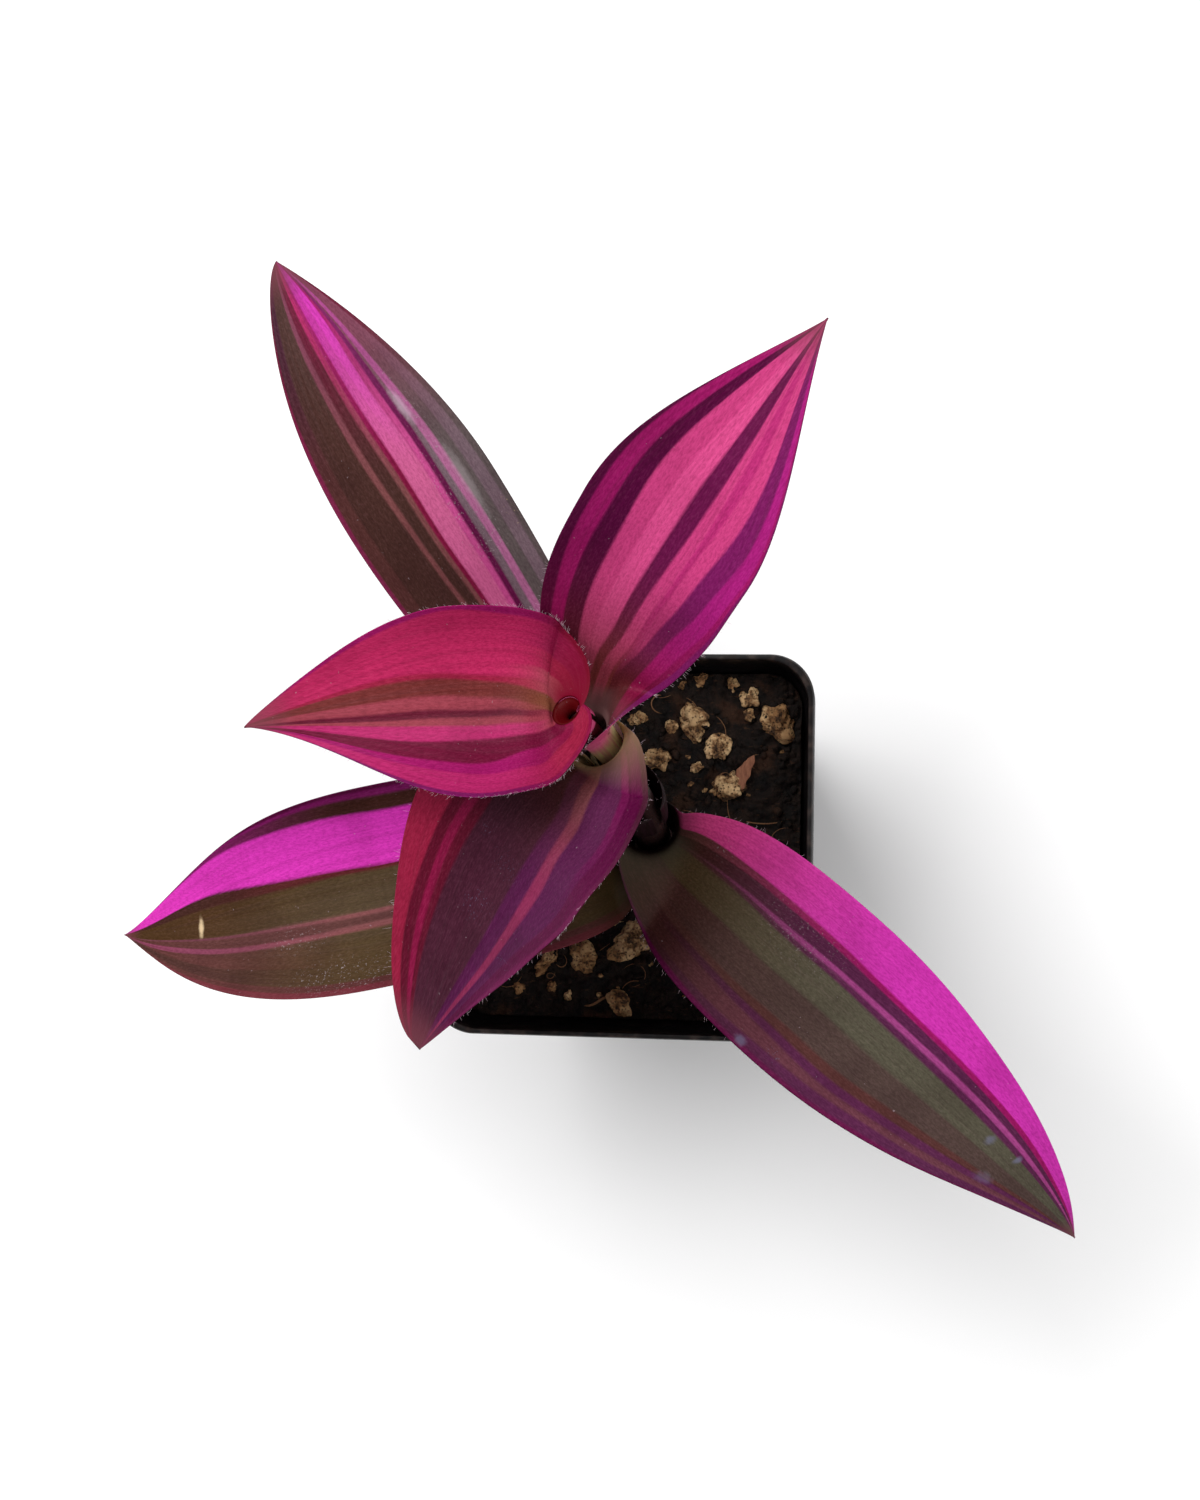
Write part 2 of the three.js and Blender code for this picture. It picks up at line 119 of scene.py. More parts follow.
floor_mesh = bpy.data.meshes.new("floor")
corners = [(-1, -1, 0), (1, -1, 0), (1, 1, 0), (-1, 1, 0)]
floor_mesh.from_pydata([tuple(FLOOR_REACH * c for c in corner) for corner in corners], [], [(0, 1, 2, 3)])
floor = bpy.data.objects.new("floor", floor_mesh)
bpy.context.scene.collection.objects.link(floor)
paper = bpy.data.materials.new("paper")
paper.use_nodes = True
paper_shader = paper.node_tree.nodes["Principled BSDF"]
paper_shader.inputs["Base Color"].default_value = PAPER_WHITE
paper_shader.inputs["Roughness"].default_value = PAPER_ROUGHNESS
floor_mesh.materials.append(paper)
floor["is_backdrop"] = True


# ---- Pot ------------------------------------------------------------------------------
# One thin moulding of black polypropylene: a tapered square with rounded corners, a wider
# collar at the rim and four drain holes in the floor.

RIM = 64.0  # outside width of the collar at its top
COLLAR = 62.8
COLLAR_DEPTH = 9.0
BASE = 46.0
POT_HEIGHT = 60.0
WALL = 1.0
RIM_CORNER = 7.4
BASE_CORNER = 5.5
FLOOR = 1.4
DRAIN_RADIUS = 3.2
DRAIN_OFFSET = 14.0
DRAIN_CUT = (-3.0, 4.0)  # heights between which the holes are cut
BODY_TOP = COLLAR - 2.4
COLLAR_FOOT = POT_HEIGHT - COLLAR_DEPTH
ALMOST_HALF = 0.4999  # of a width, as the corner that makes a square round
RIM_WEAR = (0.0575, 0.0598)  # heights in metres over which the rim's pale wear sets in


class Wire:
    """One value on its way through a material. Arithmetic on it adds Math nodes."""

    def __init__(self, finish, socket):
        self.finish = finish
        self.socket = socket

    def __add__(self, other):
        return self.finish.maths("ADD", self, other)

    def __sub__(self, other):
        return self.finish.maths("SUBTRACT", self, other)

    def __rsub__(self, other):
        return self.finish.maths("SUBTRACT", other, self)

    def __mul__(self, other):
        return self.finish.maths("MULTIPLY", self, other)

    __radd__ = __add__
    __rmul__ = __mul__

    def step(self, low, high):
        """Rises smoothly from 0 at low to 1 at high."""
        settings = {"interpolation_type": "SMOOTHSTEP"}
        return self.finish.add("MapRange", settings, {0: self, 1: low, 2: high})


class Finish:
    """A material under construction, with its one Principled shader."""

    def __init__(self, name, **sockets):
        self.material = bpy.data.materials.new(name)
        self.material.use_nodes = True
        self.nodes = self.material.node_tree.nodes
        self.shader = self.nodes["Principled BSDF"]
        self.feed(self.shader, {key.replace("_", " "): value for key, value in sockets.items()})

    def feed(self, node, sockets):
        for key, value in sockets.items():
            if isinstance(value, Wire):
                self.material.node_tree.links.new(value.socket, node.inputs[key])
            else:
                node.inputs[key].default_value = value

    def add(self, kind, settings=(), sockets=(), out=0):
        """Adds a node, with its settings first and then its sockets' values or links."""
        node = self.nodes.new("ShaderNode" + kind)
        for key, value in dict(settings).items():
            if key == "stops":
                ramp = node.color_ramp.elements
                while len(ramp) < len(value):
                    ramp.new(1.0)
                for stop, (place, color) in zip(ramp, value):
                    stop.position = place
                    stop.color = color
            else:
                setattr(node, key, value)
        self.feed(node, dict(sockets))
        return Wire(self, node.outputs[out])

    def maths(self, operation, a, b):
        return self.add("Math", {"operation": operation}, {0: a, 1: b})

    def mix(self, share, a, b, way="MIX"):
        """Mixes two colours by a share, or by another of the Mix node's ways."""
        settings = {"data_type": "RGBA", "blend_type": way}
        return self.add("Mix", settings, {0: share, 6: a, 7: b}, 2)

    def noise(self, place, scale, detail=3.0, roughness=0.5):
        sockets = {"Vector": place, "Scale": scale, "Detail": detail, "Roughness": roughness}
        return self.add("TexNoise", {}, sockets)

    def place(self):
        """The point's place in the part, in metres."""
        return self.add("TexCoord", out=3)

    def map(self, name):
        return self.add("UVMap", {"uv_map": name})

    def part(self, vector, axis):
        """One of a vector's three numbers."""
        return self.add("SeparateXYZ", {}, {0: vector}, axis)

    def stretched(self, place, scales):
        """Places measured along each axis by its own scale."""
        return self.add("VectorMath", {"operation": "MULTIPLY"}, {0: place, 1: scales})

    def grain(self, place, scales, detail=3.0, roughness=0.5):
        """Noise drawn out along the axes whose scales are low."""
        return self.noise(self.stretched(place, scales), 1, detail, roughness)

    def bump(self, height, distance, strength=1.0, below=None):
        sockets = {"Height": height, "Distance": distance, "Strength": strength}
        if below is not None:
            sockets["Normal"] = below
        return self.add("Bump", {}, sockets)

    def shade(self, **sockets):
        self.feed(self.shader, {key.replace("_", " "): value for key, value in sockets.items()})
        return self.material


def ink(code):
    """A screen colour, written as six hex digits, as linear light with full alpha."""
    parts = [int(code[i:i + 2], 16) / 255 for i in (0, 2, 4)]
    linear = [p / 12.92 if p <= 0.04045 else ((p + 0.055) / 1.055) ** 2.4 for p in parts]
    return (*linear, 1.0)


def weld(mesh, distance=1e-7):
    """Merges points that coincide, such as those of a pole."""
    work = bmesh.new()
    work.from_mesh(mesh)
    bmesh.ops.remove_doubles(work, verts=work.verts, dist=distance)
    bmesh.ops.dissolve_degenerate(work, edges=work.edges, dist=distance)
    work.to_mesh(mesh)
    work.free()


def new_piece(name, points, faces, materials, uses=None, maps=()):
    """A smooth mesh of one named piece, from points in millimetres and an array of faces.
    maps holds a UV map's name and its value at each point."""
    mesh = bpy.data.meshes.new(name)
    mesh.from_pydata(np.asarray(points) * MM, [], faces.tolist())
    for material in materials:
        mesh.materials.append(material)
    if uses is not None:
        mesh.polygons.foreach_set("material_index", np.asarray(uses, dtype=np.int32))
    corners = np.zeros(len(mesh.loops), dtype=np.int32)
    mesh.loops.foreach_get("vertex_index", corners)
    for map_name, values in maps:
        layer = mesh.uv_layers.new(name=map_name)
        layer.data.foreach_set("uv", values[corners].astype(np.float32).ravel())
    weld(mesh)
    mesh.shade_smooth()
    piece = bpy.data.objects.new(name, mesh)
    bpy.context.scene.collection.objects.link(piece)
    return piece


def ring_faces(rings, count, closed=False):
    """Quads between rings of count points each, and back to the first ring if closed."""
    ring = np.arange(rings if closed else rings - 1)[:, None] * count
    above = (ring + count) % (rings * count)
    i = np.arange(count)[None]
    j = (i + 1) % count
    return np.stack([ring + i, ring + j, above + j, above + i], -1).reshape(-1, 4)


def rounded_square(width, corner, z, steps=16, edge=14):
    """Square of a width with round corners: quarter arcs about the four corner centres,
    joined by straight edges. width, corner and z are arrays, one value for each ring."""
    width, corner, z = (np.asarray(a, float)[:, None] for a in (width, corner, z))
    half = width / 2
    along = np.linspace(-1, 1, edge + 1)[1:-1][None]
    angle = np.linspace(0, math.pi / 2, steps + 1)[None]
    x = np.concatenate([half + 0 * along, half - corner + corner * np.cos(angle)], 1)
    y = np.concatenate([(half - corner) * along, half - corner + corner * np.sin(angle)], 1)
    quarters = [(x, y), (-y, x), (-x, -y), (y, -x)]
    x = np.concatenate([q[0] for q in quarters], 1)
    y = np.concatenate([q[1] for q in quarters], 1)
    return np.stack([x, y, z + 0 * x], -1)


def body_width(z):
    return BASE + (BODY_TOP - BASE) * np.asarray(z, float) / COLLAR_FOOT


def corner_at(z):
    return BASE_CORNER + (RIM_CORNER - BASE_CORNER) * np.asarray(z, float) / POT_HEIGHT


def eased(profile, per_leg=5, share=0.28):
    """A profile with each of its bends rounded: near a bend the line follows a quadratic
    curve that starts and ends at a share of the two legs."""
    profile = np.asarray(profile, float)
    t = np.linspace(0, 1, per_leg)[:, None]
    line = [profile[:1]]
    for before, bend, after in zip(profile[:-2], profile[1:-1], profile[2:]):
        a = bend + (before - bend) * share
        b = bend + (after - bend) * share
        line.append((1 - t) ** 2 * a + 2 * t * (1 - t) * bend + t ** 2 * b)
    return np.concatenate([*line, profile[-1:]])


outer = eased([
    (0.0, 0.0), (BASE - 2.0, 0.0), (BASE, 1.0), (BODY_TOP, COLLAR_FOOT),
    (COLLAR, COLLAR_FOOT + 0.3), (RIM - 0.2, POT_HEIGHT - 1.4), (RIM, POT_HEIGHT - 0.7),
    (RIM - 0.5, POT_HEIGHT), (RIM - 2 * WALL + 0.2, POT_HEIGHT),
    (RIM - 2 * WALL, POT_HEIGHT - 0.4), (COLLAR - 2 * WALL, COLLAR_FOOT + 1.2),
    (BODY_TOP - 2 * WALL, COLLAR_FOOT - 0.6), (float(body_width(FLOOR)) - 2 * WALL, FLOOR + 0.8),
    (float(body_width(FLOOR)) - 2 * WALL - 2.0, FLOOR), (0.0, FLOOR),
])
shell = rounded_square(outer[:, 0], np.minimum(corner_at(outer[:, 1]), outer[:, 0] / 2.001), outer[:, 1])

plastic = Finish("black_plastic", Specular_IOR_Level=0.16)
place = plastic.place()
mould = plastic.noise(place, 900, 4)
scuffs = plastic.grain(place, (260, 260, 40), 5, 0.65).step(0.56, 0.75)
dust = plastic.noise(place, 130, 6, 0.7).step(0.5, 0.74)
height_now = plastic.part(place, 2)
worn = plastic.noise(place, 420, 3).step(0.42, 0.7) * height_now.step(*RIM_WEAR)
tone = plastic.mix(mould, ink("0b090a"), ink("151213"))
tone = plastic.mix(scuffs * 0.3, tone, ink("2b2726"))
tone = plastic.mix(dust * 0.45, tone, ink("35261d"))
tone = plastic.mix(worn * 0.5, tone, ink("4a3d37"))
relief = plastic.bump(mould, 0.00012, 0.5)
plastic.shade(
    Base_Color=tone, Roughness=0.42 + dust * 0.3 + scuffs * 0.12,
    Normal=plastic.bump(scuffs, 0.0001, 0.6, relief),
)

pot = new_piece("nursery_pot", shell.reshape(-1, 3), ring_faces(*shell.shape[:2]), [plastic.material])

low, high = DRAIN_CUT
widths, heights = np.array([(0, low), (2 * DRAIN_RADIUS, low), (2 * DRAIN_RADIUS, high), (0, high)]).T
drills = []
for sx, sy in ((1, 1), (-1, 1), (-1, -1), (1, -1)):
    rings = rounded_square(widths, widths * ALMOST_HALF, heights)
    rings[..., 0] += sx * DRAIN_OFFSET
    rings[..., 1] += sy * DRAIN_OFFSET
    drill = new_piece(f"drill_{len(drills)}", rings.reshape(-1, 3), ring_faces(*rings.shape[:2]), [])
    drills.append(drill)
for drill in drills:
    cut = pot.modifiers.new("drain_hole", "BOOLEAN")
    cut.object = drill
    cut.operation = "DIFFERENCE"
bpy.context.view_layer.update()
drilled = bpy.data.meshes.new_from_object(pot.evaluated_get(bpy.context.evaluated_depsgraph_get()))
pot.modifiers.clear()
pot.data = drilled
for drill in drills:
    bpy.data.objects.remove(drill)
drilled.set_sharp_from_angle(angle=math.radians(40))
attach(pot, "root")
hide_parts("pot")


# ---- Soil -----------------------------------------------------------------------------
# Dark peat that fills the pot to 8 mm below the rim: a lumpy heap of crumbs, which the
# grains and fibres of the next sections lie in.

CLEARANCE = 0.3
SOIL_LEVEL = 52.0
SOIL_RISE = 1.1
LUMP = 0.45
SOIL_CELLS = 250
# Wavelength, number of waves, seed and height of each size of crumb
CRUMB_WAVES = [(4.6, 14, 1, 0.5), (1.9, 16, 2, 0.34), (0.8, 16, 3, 0.14)]
CRUMB_SINK = 0.75
TOP_GROW = 0.6  # extra width of the soil's top
# Height of each ring below the top, and what it adds to the pot's inner width there
SKIRT_RINGS = [(50.5, 0), (COLLAR_FOOT / 2, 0), (FLOOR + 1.2, 0), (FLOOR + CLEARANCE, -1)]


def ripples(x, y, wavelength, count, seed):
    """Smooth random relief: a sum of plane waves of like length, in seeded directions."""
    draw = np.random.default_rng(seed)
    angles = draw.uniform(0, 2 * math.pi, count)
    pitch = 2 * math.pi / (wavelength * draw.uniform(0.7, 1.4, count))
    shift = draw.uniform(0, 2 * math.pi, count)
    waves = np.sin(
        (x[..., None] * np.cos(angles) + y[..., None] * np.sin(angles)) * pitch + shift
    )
    return waves.sum(-1) / math.sqrt(count)


def bare_soil(x, y):
    """Height of the heap: the level, a slight rise to the middle, and crossed ripples."""
    edge = np.clip(1 - np.maximum(abs(x), abs(y)) / (RIM / 2), 0, 1)
    coarse = np.sin(0.42 * x + 1.3) * np.cos(0.37 * y - 0.6) + 0.6 * np.sin(0.83 * x - 0.55 * y)
    fine = np.sin(1.1 * x + 0.5 * y) * np.sin(1.2 * y - 0.6 * x)
    return SOIL_LEVEL + SOIL_RISE * np.sqrt(edge) + LUMP * coarse + 0.4 * LUMP * fine


def crumbed_soil(x, y):
    """The heap with crumbs: sharpened ripples at three sizes, the smaller ones lower."""
    crumbs = 0
    for wavelength, count, seed, height in CRUMB_WAVES:
        crumbs = crumbs + np.abs(ripples(x, y, wavelength, count, seed)) * height
    return bare_soil(x, y) + crumbs - CRUMB_SINK


inside = float(body_width(COLLAR_FOOT)) - 2 * WALL - 2 * CLEARANCE + TOP_GROW
inside_corner = float(corner_at(COLLAR_FOOT)) - WALL - CLEARANCE
# A square grid, pulled in towards its corners until its edge follows the pot's round ones
cells = np.linspace(-1, 1, SOIL_CELLS + 1)
gx, gy = np.meshgrid(cells, cells, indexing="xy")
reach = np.maximum(abs(gx), abs(gy))
slope = np.arctan2(np.minimum(abs(gx), abs(gy)), np.maximum(reach, 1e-9))
flat_reach = inside / 2 / np.cos(slope)
centre = inside / 2 - inside_corner
along_ray = centre * (np.cos(slope) + np.sin(slope))
round_reach = along_ray + np.sqrt(np.maximum(along_ray ** 2 - 2 * centre ** 2 + inside_corner ** 2, 0))
pull = np.where(flat_reach * np.sin(slope) > centre, round_reach / flat_reach, 1.0)
pull = 1 - (1 - pull) * reach ** 4
soil_x = gx * inside / 2 * pull
soil_y = gy * inside / 2 * pull
soil_top = np.stack([soil_x, soil_y, crumbed_soil(soil_x, soil_y)], -1)
top_count = (SOIL_CELLS + 1) ** 2
n = SOIL_CELLS
row = np.arange(n)
a = (row[:, None] * (n + 1) + row[None]).ravel()
top_faces = np.stack([a, a + 1, a + n + 2, a + n + 1], -1)
border = np.concatenate([row, n + row * (n + 1), n * (n + 1) + n - row, (n - row) * (n + 1)])
rim_points = soil_top.reshape(-1, 3)[border]
skirt = []
for z, grow in SKIRT_RINGS:
    width = float(body_width(min(z, COLLAR_FOOT))) - 2 * WALL - 2 * CLEARANCE + grow
    ring = rim_points.copy()
    ring[:, :2] *= width / inside
    ring[:, 2] = z
    skirt.append(ring)
loops = np.stack([rim_points, *skirt])
skirt_faces = ring_faces(len(loops), len(border))[:, ::-1]
ring_index = np.concatenate([border, top_count + np.arange(len(skirt) * len(border))])
skirt_faces = ring_index[skirt_faces]
floor_point = top_count + len(skirt) * len(border)
last = np.arange(len(border)) + floor_point - len(border)
points = np.concatenate([soil_top.reshape(-1, 3), *skirt, [[0, 0, FLOOR + CLEARANCE]]])
soil_faces = [*top_faces.tolist(), *skirt_faces.tolist()]
soil_faces += [(int(i), int(floor_point), int(j)) for i, j in zip(last, np.roll(last, -1))]

peat = Finish("peat", Specular_IOR_Level=0.22)
place = peat.place()
clods = peat.noise(place, 420, 6, 0.65)
grit = peat.noise(place, 2600, 4, 0.7)
threads = peat.noise(peat.stretched(place, (1, 3.4, 1)), 700, 3).step(0.62, 0.72)
dark = peat.mix(clods.step(0.35, 0.7), ink("0a0706"), ink("22160f"))
dark = peat.mix(peat.noise(place, 190, 4).step(0.54, 0.68) * 0.8, dark, ink("3a2417"))
dark = peat.mix(grit.step(0.6, 0.78) * 0.7, dark, ink("4f3624"))
dark = peat.mix(threads * 0.35, dark, ink("5a3c26"))
relief = peat.bump(clods, 0.0009, 0.9)
peat.shade(Base_Color=dark, Roughness=0.92 - clods * 0.2, Normal=peat.bump(grit, 0.0003, 0.9, relief))

soil_mesh = bpy.data.meshes.new("peat_bed")
soil_mesh.from_pydata(points * MM, [], soil_faces)
soil_mesh.materials.append(peat.material)
soil_mesh.shade_smooth()
soil = bpy.data.objects.new("peat_bed", soil_mesh)
bpy.context.scene.collection.objects.link(soil)
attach(soil, "root")
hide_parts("soil")


# ---- Perlite --------------------------------------------------------------------------
# Puffed volcanic glass, cream and tan, pitted and stained by the peat. The large chunks
# lie where the photograph shows them, and smaller ones are strewn between.

CHUNKS = [
    (11, 21.5, 6.2), (25, 21, 5.2), (20.5, 25, 3.4), (17.5, 27.5, 2.4), (12, 28, 2.2),
    (15.3, 16.5, 4), (16.3, 9.8, 4.5), (5, 14.5, 4), (1.5, 21.5, 2.6), (11.5, 13.5, 2),
    (1, -16.6, 6.6), (-13.7, -20, 3.4), (-7.5, -19.2, 4), (-1, -26.5, 3.8), (-12.5, -24, 1.9),
    (-18.5, -24.5, 1.8), (-22, 6, 4.4), (-17, 18, 3.6), (-9, 25, 4.2), (25, -8, 3.4),
]
CHUNK_SCALE = 1.08  # size of the uncut lumps, compared with the diameters above
STEM_FOOT_AT = (4.9, -0.9)
STEM_CLEAR = 4.2  # radius about it that stays free of strewn lumps
SMALL_GRAINS = 64
CUT_PLANES = 16
CUT_HARDNESS = 9.0
PITS = 14


def lumps(places, diameters, rows, columns, roughness, seed, squash=(0.6, 0.9)):
    """Closed broken lumps, all at once: a sphere's grid for each place, cut back by seeded
    planes whose soft minimum leaves blunt corners, then raised by waves, lowered in pits
    and pressed flatter."""
    draw = np.random.default_rng(seed)
    count = len(places)
    polar = np.linspace(0, math.pi, rows)[None, :, None]
    round_ = np.linspace(0, 2 * math.pi, columns, endpoint=False)[None, None]
    unit = np.stack(np.broadcast_arrays(
        np.sin(polar) * np.cos(round_), np.sin(polar) * np.sin(round_), np.cos(polar)), -1)

    def directions(each):
        ways = draw.normal(size=(count, each, 3))
        return ways / np.linalg.norm(ways, axis=-1, keepdims=True)

    cuts = np.einsum("abcd,nkd->nbck", unit, directions(CUT_PLANES))
    depths = draw.uniform(0.72, 1.05, (count, 1, 1, CUT_PLANES))
    pressed = (np.clip(cuts, 0, 1) / depths) ** CUT_HARDNESS
    radius = np.minimum((pressed.sum(-1) + 1e-6) ** (-1 / CUT_HARDNESS), 1.15)
    for frequency, depth in ((3.0, 0.1), (6.5, 0.07), (13.0, 0.045)):
        for way in directions(4).transpose(1, 0, 2)[:, :, None, None]:
            shift = draw.uniform(0, 2 * math.pi, (count, 1, 1))
            radius += roughness * depth * np.sin((unit * way).sum(-1) * frequency + shift)
    for pit in directions(PITS).transpose(1, 0, 2)[:, :, None, None]:
        radius -= roughness * 0.2 * np.exp(-(1 - (unit * pit).sum(-1)) / 0.02)
    shape = unit * radius[..., None]
    shape *= np.stack([
        draw.uniform(0.9, 1.2, count), draw.uniform(0.75, 1.0, count),
        draw.uniform(*squash, count)], -1)[:, None, None]
    spin = draw.uniform(0, 2 * math.pi, count)[:, None, None]
    x = shape[..., 0] * np.cos(spin) - shape[..., 1] * np.sin(spin)
    y = shape[..., 0] * np.sin(spin) + shape[..., 1] * np.cos(spin)
    shape = np.stack([x, y, shape[..., 2]], -1) * (np.asarray(diameters)[:, None, None, None] / 2)
    points = shape + np.asarray(places)[:, None, None]
    faces = ring_faces(rows, columns)[:, ::-1]
    faces = faces[None] + (np.arange(count) * rows * columns)[:, None, None]
    return points.reshape(-1, 3), faces.reshape(-1, 4)


def strewn(count, low, high, seed, margin=1.5):
    """Seeded places on the soil, clear of the stem, with diameters that favour the small."""
    draw = np.random.default_rng(seed)
    spot = draw.uniform(-1, 1, (4 * count, 2)) * (inside / 2 - margin)
    clear = np.hypot(spot[:, 0] - STEM_FOOT_AT[0], spot[:, 1] - STEM_FOOT_AT[1]) > STEM_CLEAR
    spot = spot[clear][:count]
    diameters = low + (high - low) * draw.uniform(0, 1, count) ** 2.2
    return spot, diameters


def on_soil(spot, diameters, stands):
    """Seats lumps in the soil, with their middles a share of their size above it."""
    height = crumbed_soil(spot[:, 0], spot[:, 1]) + np.asarray(diameters) * stands
    return np.column_stack([spot, height])


glass = Finish("perlite", Specular_IOR_Level=0.25)
place = glass.place()
cells_now = glass.add("TexVoronoi", {}, {"Vector": place, "Scale": 1900.0})
holes = 1 - cells_now.step(0.1, 0.4)
stain = glass.noise(place, 430, 5, 0.7)
grain_tone = glass.noise(place, 120, 2)
tone = glass.mix(grain_tone.step(0.38, 0.62), ink("96714a"), ink("cdac7f"))
tone = glass.mix(stain.step(0.4, 0.56) * 0.9, tone, ink("74502f"))
tone = glass.mix(stain.step(0.52, 0.64) * 0.9, tone, ink("2f2017"))
tone = glass.mix(holes * 0.6, tone, ink("3a2618"))
relief = glass.bump(1 - holes, 0.0005, 0.9)
glass.shade(Base_Color=tone, Roughness=0.85 - holes * 0.05, Normal=glass.bump(stain, 0.0004, 0.8, relief))

chunk_data = np.array(CHUNKS, float)
spots = on_soil(chunk_data[:, :2], chunk_data[:, 2], stands=0.12)
points, faces = lumps(spots, chunk_data[:, 2] * CHUNK_SCALE, rows=40, columns=60, roughness=0.9, seed=21)
perlite = new_piece("perlite_chunks", points, faces, [glass.material])
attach(perlite, "root")

spot, sizes = strewn(SMALL_GRAINS, low=0.7, high=2.3, seed=31)
spots = on_soil(spot, sizes, stands=0.15)
points, faces = lumps(spots, sizes, rows=14, columns=18, roughness=0.9, seed=32)
grains = new_piece("perlite_grains", points, faces, [glass.material])
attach(grains, "root")


# ---- Crumbs, fibres and bark ----------------------------------------------------------
# What makes the peat look open: loose dark crumbs, pale root and moss fibres, a twig and
# a reddish sliver of bark, all lying in the surface.

CRUMBS = 1100
FIBRES = 60
TWIG_RADIUS = 0.24

spot, sizes = strewn(CRUMBS, low=0.35, high=1.7, seed=41, margin=0.9)
spots = on_soil(spot, sizes, stands=0.2)
points, faces = lumps(spots, sizes, rows=6, columns=8, roughness=0.9, seed=42, squash=(0.5, 1.0))
crumbs = new_piece("peat_crumbs", points, faces, [peat.material])
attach(crumbs, "root")


def threads_along(paths, radii, sides):
    """Threads, all at once: a ring of sides about each point of each path, square to the path,
    of the radius given for that point. They taper as the radii do and close only where a radius
    is nothing."""
    count, steps, _ = paths.shape
    along = np.gradient(paths, axis=1)
    along /= np.linalg.norm(along, axis=-1, keepdims=True)
    helper = np.where(abs(along[..., 2:]) > 0.9, [1.0, 0, 0], [0, 0, 1.0])
    first = np.cross(along, helper)
    first /= np.linalg.norm(first, axis=-1, keepdims=True)
    second = np.cross(along, first)
    angle = np.arange(sides) / sides * 2 * math.pi
    ring = (first[:, :, None] * np.cos(angle)[:, None] + second[:, :, None] * np.sin(angle)[:, None])
    points = paths[:, :, None] + ring * radii[:, :, None, None]
    faces = ring_faces(steps, sides)[None] + (np.arange(count) * steps * sides)[:, None, None]
    return points.reshape(-1, 3), faces.reshape(-1, 4)


def fibre_paths(count, seed):
    """Short seeded curves that lie on the soil and bend one way."""
    draw = np.random.default_rng(seed)
    spot, _ = strewn(count, 1, 2, seed, 4)
    t = np.linspace(-1, 1, 12)[None]
    heading = draw.uniform(0, 2 * math.pi, (count, 1)) + t * draw.normal(0, 0.7, (count, 1))
    length = draw.uniform(1.2, 4.2, (count, 1))
    x = spot[:, :1] + length * t * np.cos(heading)
    y = spot[:, 1:] + length * t * np.sin(heading)
    z = crumbed_soil(x, y)
    z = (z + z.mean(1, keepdims=True)) / 2 + 0.12 + 0.25 * (1 - t ** 2)
    radii = draw.uniform(0.05, 0.13, (count, 1)) * np.sqrt(1.001 - t ** 2)
    return np.stack([x, y, z], -1), radii


husk = Finish("root_fibre", Specular_IOR_Level=0.3)
place = husk.place()
patch = husk.noise(place, 300, 3)
husk.shade(Base_Color=husk.mix(patch, ink("4d301d"), ink("8a6343")), Roughness=0.6 + patch * 0.3)
points, faces = threads_along(*fibre_paths(FIBRES, seed=51), sides=5)
fibres = new_piece("root_fibres", points, faces, [husk.material])
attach(fibres, "root")

t = np.linspace(-1, 1, 24)
twig_x = -4.6 + 2.6 * t
twig_y = -26.4 + 0.7 * t + 0.35 * np.sin(3 * t)
twig = np.stack([twig_x, twig_y, crumbed_soil(twig_x, twig_y).mean() + 0.35 + 0 * t], -1)
points, faces = threads_along(twig[None], (TWIG_RADIUS * np.sqrt(1.001 - t ** 2))[None], sides=10)
twig_piece = new_piece("twig", points, faces, [husk.material])
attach(twig_piece, "root")

BARK_AT = (20.0, 12.6)
BARK_LENGTH = 6.4
BARK_WIDTH = 2.3
BARK_HEADING = 1.2
BARK_LIFT = 0.55


def bark_sliver(rows=40, columns=28):
    """A flat splinter: its section is a flattened loop whose width swells from one pointed
    end to the other, with grain ridges along it."""
    t = np.linspace(0, 1, rows)[:, None]
    angle = np.linspace(0, 2 * math.pi, columns, endpoint=False)[None]
    width = BARK_WIDTH / 2 * np.sin(math.pi * t ** 0.75) ** 0.6 * (1 + 0.12 * np.sin(17 * t))
    ridges = 1 + 0.16 * np.sin(9 * angle + 3 * t) + 0.1 * np.sin(21 * angle)
    x = BARK_LENGTH * (t - 0.5) + 0 * angle
    y = width * np.cos(angle) + 0.35 * np.sin(4 * t)
    z = 0.34 * np.sin(angle) * ridges * np.sin(math.pi * t) ** 0.4 + 0.5 * (t - 0.5)
    return np.stack([
        BARK_AT[0] + x * math.cos(BARK_HEADING) - y * math.sin(BARK_HEADING),
        BARK_AT[1] + x * math.sin(BARK_HEADING) + y * math.cos(BARK_HEADING),
        z + float(crumbed_soil(np.array(BARK_AT[0]), np.array(BARK_AT[1]))) + BARK_LIFT], -1)


bark_skin = Finish("bark", Specular_IOR_Level=0.3)
place = bark_skin.place()
lines = bark_skin.noise(bark_skin.stretched(place, (1, 0.25, 1)), 2400, 4)
bark_skin.shade(
    Base_Color=bark_skin.mix(lines, ink("5e2f20"), ink("b07a5c")), Roughness=0.7 + lines * 0.2,
    Normal=bark_skin.bump(lines, 0.0004),
)
sliver = bark_sliver()
bark_faces = ring_faces(*sliver.shape[:2])[:, ::-1]
bark = new_piece("bark_sliver", sliver.reshape(-1, 3), bark_faces, [bark_skin.material])
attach(bark, "root")
